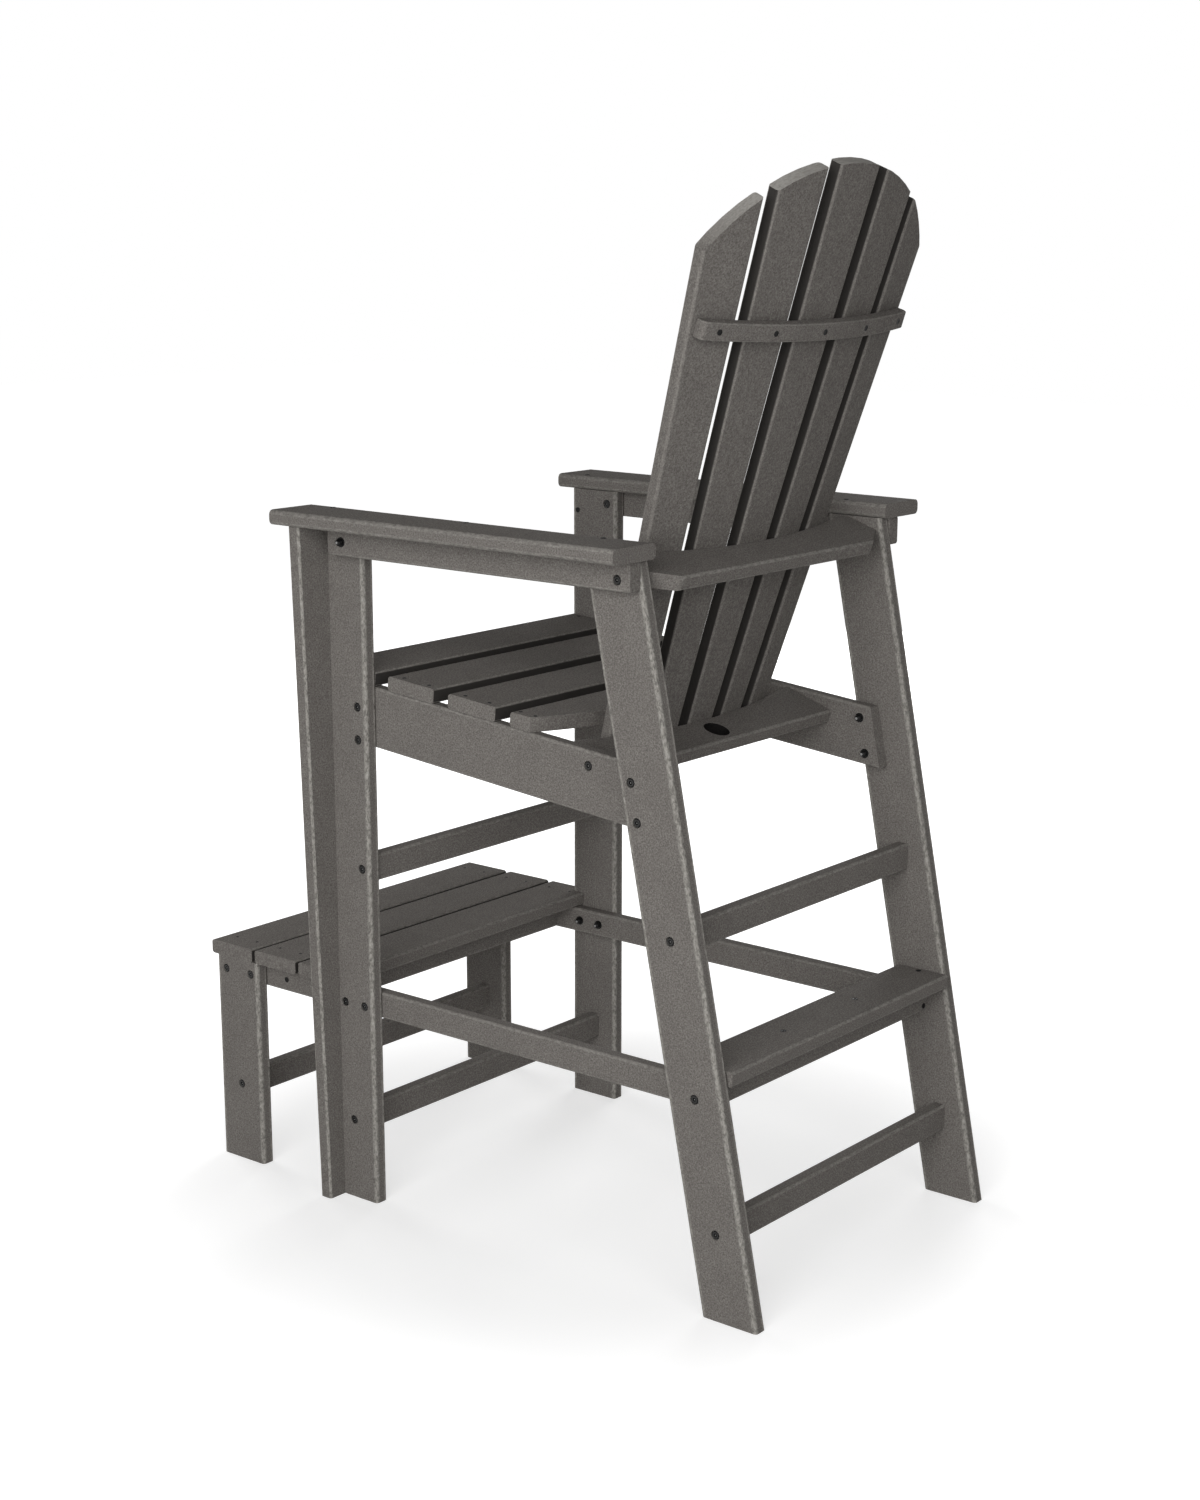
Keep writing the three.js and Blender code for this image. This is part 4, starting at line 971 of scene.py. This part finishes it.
@dataclass
class SideFrame:
    """One side of the chair: legs, armrest, rails and the bolts through them. Lengths in metres."""

    side: Side
    recess: float = 4.2 * MILLIMETRE
    boards: tuple[str, ...] = (
        "front_leg_side_board",
        "front_leg_front_board",
        "rear_leg",
        "armrest",
        "arm_rail",
        "seat_stringer",
        "side_rail",
        "footrest_leg",
    )
    cuts: dict[str, BoardCut] = field(default_factory=lambda: {
        "front_leg_side_board": BoardCut(0.9, 7.0 * MILLIMETRE),
        "front_leg_front_board": BoardCut(0.9),
        "rear_leg": BoardCut(0.9, 7.0 * MILLIMETRE),
        "footrest_leg": BoardCut(0.9, 7.0 * MILLIMETRE),
    })
    bolts: tuple[str, ...] = (
        "seat_bolt_front_1",
        "seat_bolt_front_2",
        "seat_bolt_rear_1",
        "seat_bolt_rear_2",
        "rail_bolt_1",
        "rail_bolt_2",
        "footrest_bolt_1",
        "footrest_bolt_2",
    )
    lower_support_lag: tuple[float, float] = (0.2150, 0.7301)
    rail_screw_ys: tuple[float, ...] = (-0.3820, -0.2968)
    rail_screw_z: float = 0.3070
    front_board_screw_zs: tuple[float, ...] = (0.060, 0.345, 0.660, 0.985)
    front_board_screw_y: float = -0.2563
    arm_screw_ys: tuple[float, ...] = (-0.245, 0.010, 0.250)
    arm_screw_inset: float = 0.011

    def build(self, workshop: Workshop, hardware: Hardware) -> None:
        """Dresses the boards and adds the fasteners."""
        label, sign = self.side.label, self.side.value
        for board in self.boards:
            workshop.dress_board(f"{label}_{board}", self.cuts.get(board, BoardCut()))
        for bolt in self.bolts:
            hardware.through_bolt(f"{label}_{bolt}", sign)
        hardware.through_bolt(f"{label}_arm_bolt_front", -sign)
        self._arm_lag(hardware)
        self._cross_board_lags(hardware)
        self._screws(hardware)

    def _outer_x(self, node: str) -> float:
        """The x of a board's outer face, with this side's sign."""
        low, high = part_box(node)
        return high.x if self.side is Side.LEFT else low.x

    def _arm_lag(self, hardware: Hardware) -> None:
        """The arm rail's rear lag bolt, where the CAD has it."""
        node = f"{self.side.label}_arm_bolt_rear"
        middle = middle_of(node)
        seat = self._outer_x(node) - self.side.value * hardware.parts.head_height
        hardware.lag(f"{node}_fine", seat, middle.y, middle.z, self.side.value, node)

    def _cross_board_lags(self, hardware: Hardware) -> None:
        """Lag bolts into the ends of the boards that cross the chair."""
        label, sign = self.side.label, self.side.value
        carried = {
            "upper_front_stretcher": "front_leg_side_board",
            "lower_front_stretcher": "front_leg_side_board",
            "footrest_stretcher": "footrest_leg",
            "upper_rear_rung": "rear_leg",
            "tread_rung": "rear_leg",
            "lower_rear_rung": "rear_leg",
        }
        for cross_board, carrier in carried.items():
            middle = middle_of(cross_board)
            seat = self._outer_x(f"{label}_{carrier}") - sign * self.recess
            hardware.lag(f"{label}_{cross_board}_lag", seat, middle.y, middle.z, sign)
        seat = self._outer_x(f"{label}_seat_stringer") - sign * self.recess
        hardware.lag(f"{label}_lower_support_lag", seat, *self.lower_support_lag, sign)

    def _screws(self, hardware: Hardware) -> None:
        """Wood screws in the side rail, the front leg and the armrest."""
        label, sign = self.side.label, self.side.value
        outward = Vector((sign, 0, 0))
        points = [Vector((0, y, self.rail_screw_z)) for y in self.rail_screw_ys]
        hardware.screws(f"{label}_side_rail", points, outward)
        points = [Vector((0, self.front_board_screw_y, z)) for z in self.front_board_screw_zs]
        hardware.screws(f"{label}_front_leg_side_board", points, -outward)
        legs_x = self._outer_x(f"{label}_rear_leg") - sign * self.arm_screw_inset
        points = [Vector((legs_x, y, 1.0)) for y in self.arm_screw_ys]
        hardware.screws(f"{label}_armrest", points, UP)


@dataclass
class SlatRow:
    """Slats in a row across the chair with screws in their ends, and boards under them. Lengths in metres."""

    name: str
    screw_shares: tuple[tuple[float, float], ...]
    screw_size: float
    others: tuple[str, ...] = ()
    screw_x: float = 0.262

    def build(self, workshop: Workshop, hardware: Hardware) -> None:
        """Dresses the boards and adds the slats' screws."""
        for board in self.others:
            workshop.dress_board(board)
        for count, shares in enumerate(self.screw_shares, start=1):
            name = f"{self.name}_{count}"
            # Directions of the sides that get painted gap shade.
            shaded_gaps = gap_directions(count, len(self.screw_shares), (0.0, 1.0, 0.0))
            workshop.dress_board(name, BoardCut(gap_directions=shaded_gaps))
            low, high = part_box(name)
            points = [
                Vector((x, low.y + (high.y - low.y) * share, high.z))
                for x in (-self.screw_x, self.screw_x)
                for share in shares
            ]
            hardware.screws(name, points, UP, self.screw_size)


SEAT = SlatRow("seat_slat", ((0.25, 0.75), (0.25, 0.79), (0.27, 0.77), (0.12, 0.42)), 0.7)
FOOTREST = SlatRow(
    "footrest_slat",
    ((0.25, 0.75),) * 3,
    0.55,
    ("footrest_apron_front", "footrest_apron_rear", "footrest_stretcher"),
)


@dataclass
class Back:
    """The reclined back: five fanned slats, two hollowed supports and the brace. Lengths in metres."""

    recline: float = math.radians(18.06)
    foot: Triple = (0.0, 0.2001, 0.7463)
    brace_rise: float = 0.586
    brace_screw_xs: tuple[float, ...] = (-0.2086, -0.1055, 0.0, 0.1055, 0.2086)
    upper_rise: float = 0.2865
    lower_rise: float = -0.0108
    slat_screw_offsets: tuple[float, float] = (-0.017, 0.017)
    hole_setback: float = 28.7 * MILLIMETRE
    hole_radius: float = 19.0 * MILLIMETRE
    slat_count: int = 5
    slat_foot_rise: float = -0.02
    slat_head_rise: float = 0.55
    # Share of the paler edge colour and painted highlight on the back slats.
    slat_pale_edge_and_highlight_share: float = 0.2

    @property
    def rearward(self) -> Vector:
        """The direction out of the back's rear face."""
        return Vector((0, math.cos(self.recline), -math.sin(self.recline)))

    def point(self, x: float, rise: float) -> Vector:
        """The point of the back's own plane at a place across the chair and a distance up the back."""
        return Vector(self.foot) + Vector((x, rise * math.sin(self.recline), rise * math.cos(self.recline)))

    def build(self, workshop: Workshop, hardware: Hardware) -> None:
        """Dresses the boards and adds their screws."""
        # The hole whose wall gets painted shade.
        hole_centre = self.point(0, 0) + self.rearward * self.hole_setback
        hole = Hole(tuple(hole_centre), self.hole_radius)
        workshop.dress_board("lower_back_support", BoardCut(hole=hole))
        for name in ("upper_back_support", "back_brace"):
            workshop.dress_board(name)
        points = [self.point(x, self.brace_rise) for x in self.brace_screw_xs]
        hardware.screws("back_brace", points, self.rearward)
        for count in range(1, self.slat_count + 1):
            name = f"back_slat_{count}"
            # Directions of the sides that get painted gap shade.
            shaded_gaps = gap_directions(count, self.slat_count, (1.0, 0.0, 0.0))
            workshop.dress_board(name, BoardCut(self.slat_pale_edge_and_highlight_share, pale_ends=True, gap_directions=shaded_gaps))
            points = [
                self.point(self._middle_x(name, rise) + offset, rise)
                for rise in (self.lower_rise, self.upper_rise, self.brace_rise)
                for offset in self.slat_screw_offsets
            ]
            hardware.screws(name, points, -self.rearward)

    def _middle_x(self, name: str, rise: float) -> float:
        """The middle of a slat at a distance up the back."""
        corners = [v.co for v in frame["nodes"][name].data.vertices]
        low = [c.x for c in corners if c.z < self.point(0, self.slat_foot_rise).z]
        high = [c.x for c in corners if c.z > self.point(0, self.slat_head_rise).z]
        middle_low, middle_high = (min(low) + max(low)) / 2, (min(high) + max(high)) / 2
        low_z, high_z = min(c.z for c in corners), max(c.z for c in corners)
        share = (self.point(0, rise).z - low_z) / (high_z - low_z)
        return middle_low + (middle_high - middle_low) * share


@dataclass
class Ladder:
    """Stretchers, rungs and the step between the legs. Lengths in metres."""

    boards: tuple[str, ...] = (
        "upper_front_stretcher",
        "lower_front_stretcher",
        "upper_rear_rung",
        "lower_rear_rung",
        "tread_rung",
        "step_tread",
    )
    screw_x: float = 0.262
    rung_screw_zs: tuple[float, float] = (0.2970, 0.3170)
    tread_screw_xs: tuple[float, ...] = (-0.262, -0.09, 0.09, 0.262)
    tread_screw_y: float = 0.4158

    def build(self, workshop: Workshop, hardware: Hardware) -> None:
        """Dresses the boards and adds the rung's and the tread's screws."""
        for name in self.boards:
            workshop.dress_board(name)
        points = [Vector((x, self.tread_screw_y, z)) for x in (-self.screw_x, self.screw_x) for z in self.rung_screw_zs]
        hardware.screws("tread_rung", points, Vector((0, 1, 0)))
        points = [Vector((x, self.tread_screw_y, 0.35)) for x in self.tread_screw_xs]
        hardware.screws("step_tread", points, UP)


def main(studio: Studio = Studio()) -> None:
    """Builds the studio and every sub-assembly in order."""
    logging.basicConfig(level=logging.INFO, format="%(message)s")
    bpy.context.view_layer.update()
    studio.build()
    workshop = Workshop(frame["nodes"])
    hardware = Hardware(workshop)
    for part in (SideFrame(Side.LEFT), SideFrame(Side.RIGHT), SEAT, Back(), FOOTREST, Ladder()):
        part.build(workshop, hardware)
        log.info("built %s", type(part).__name__)


if __name__ == "__main__":
    main()
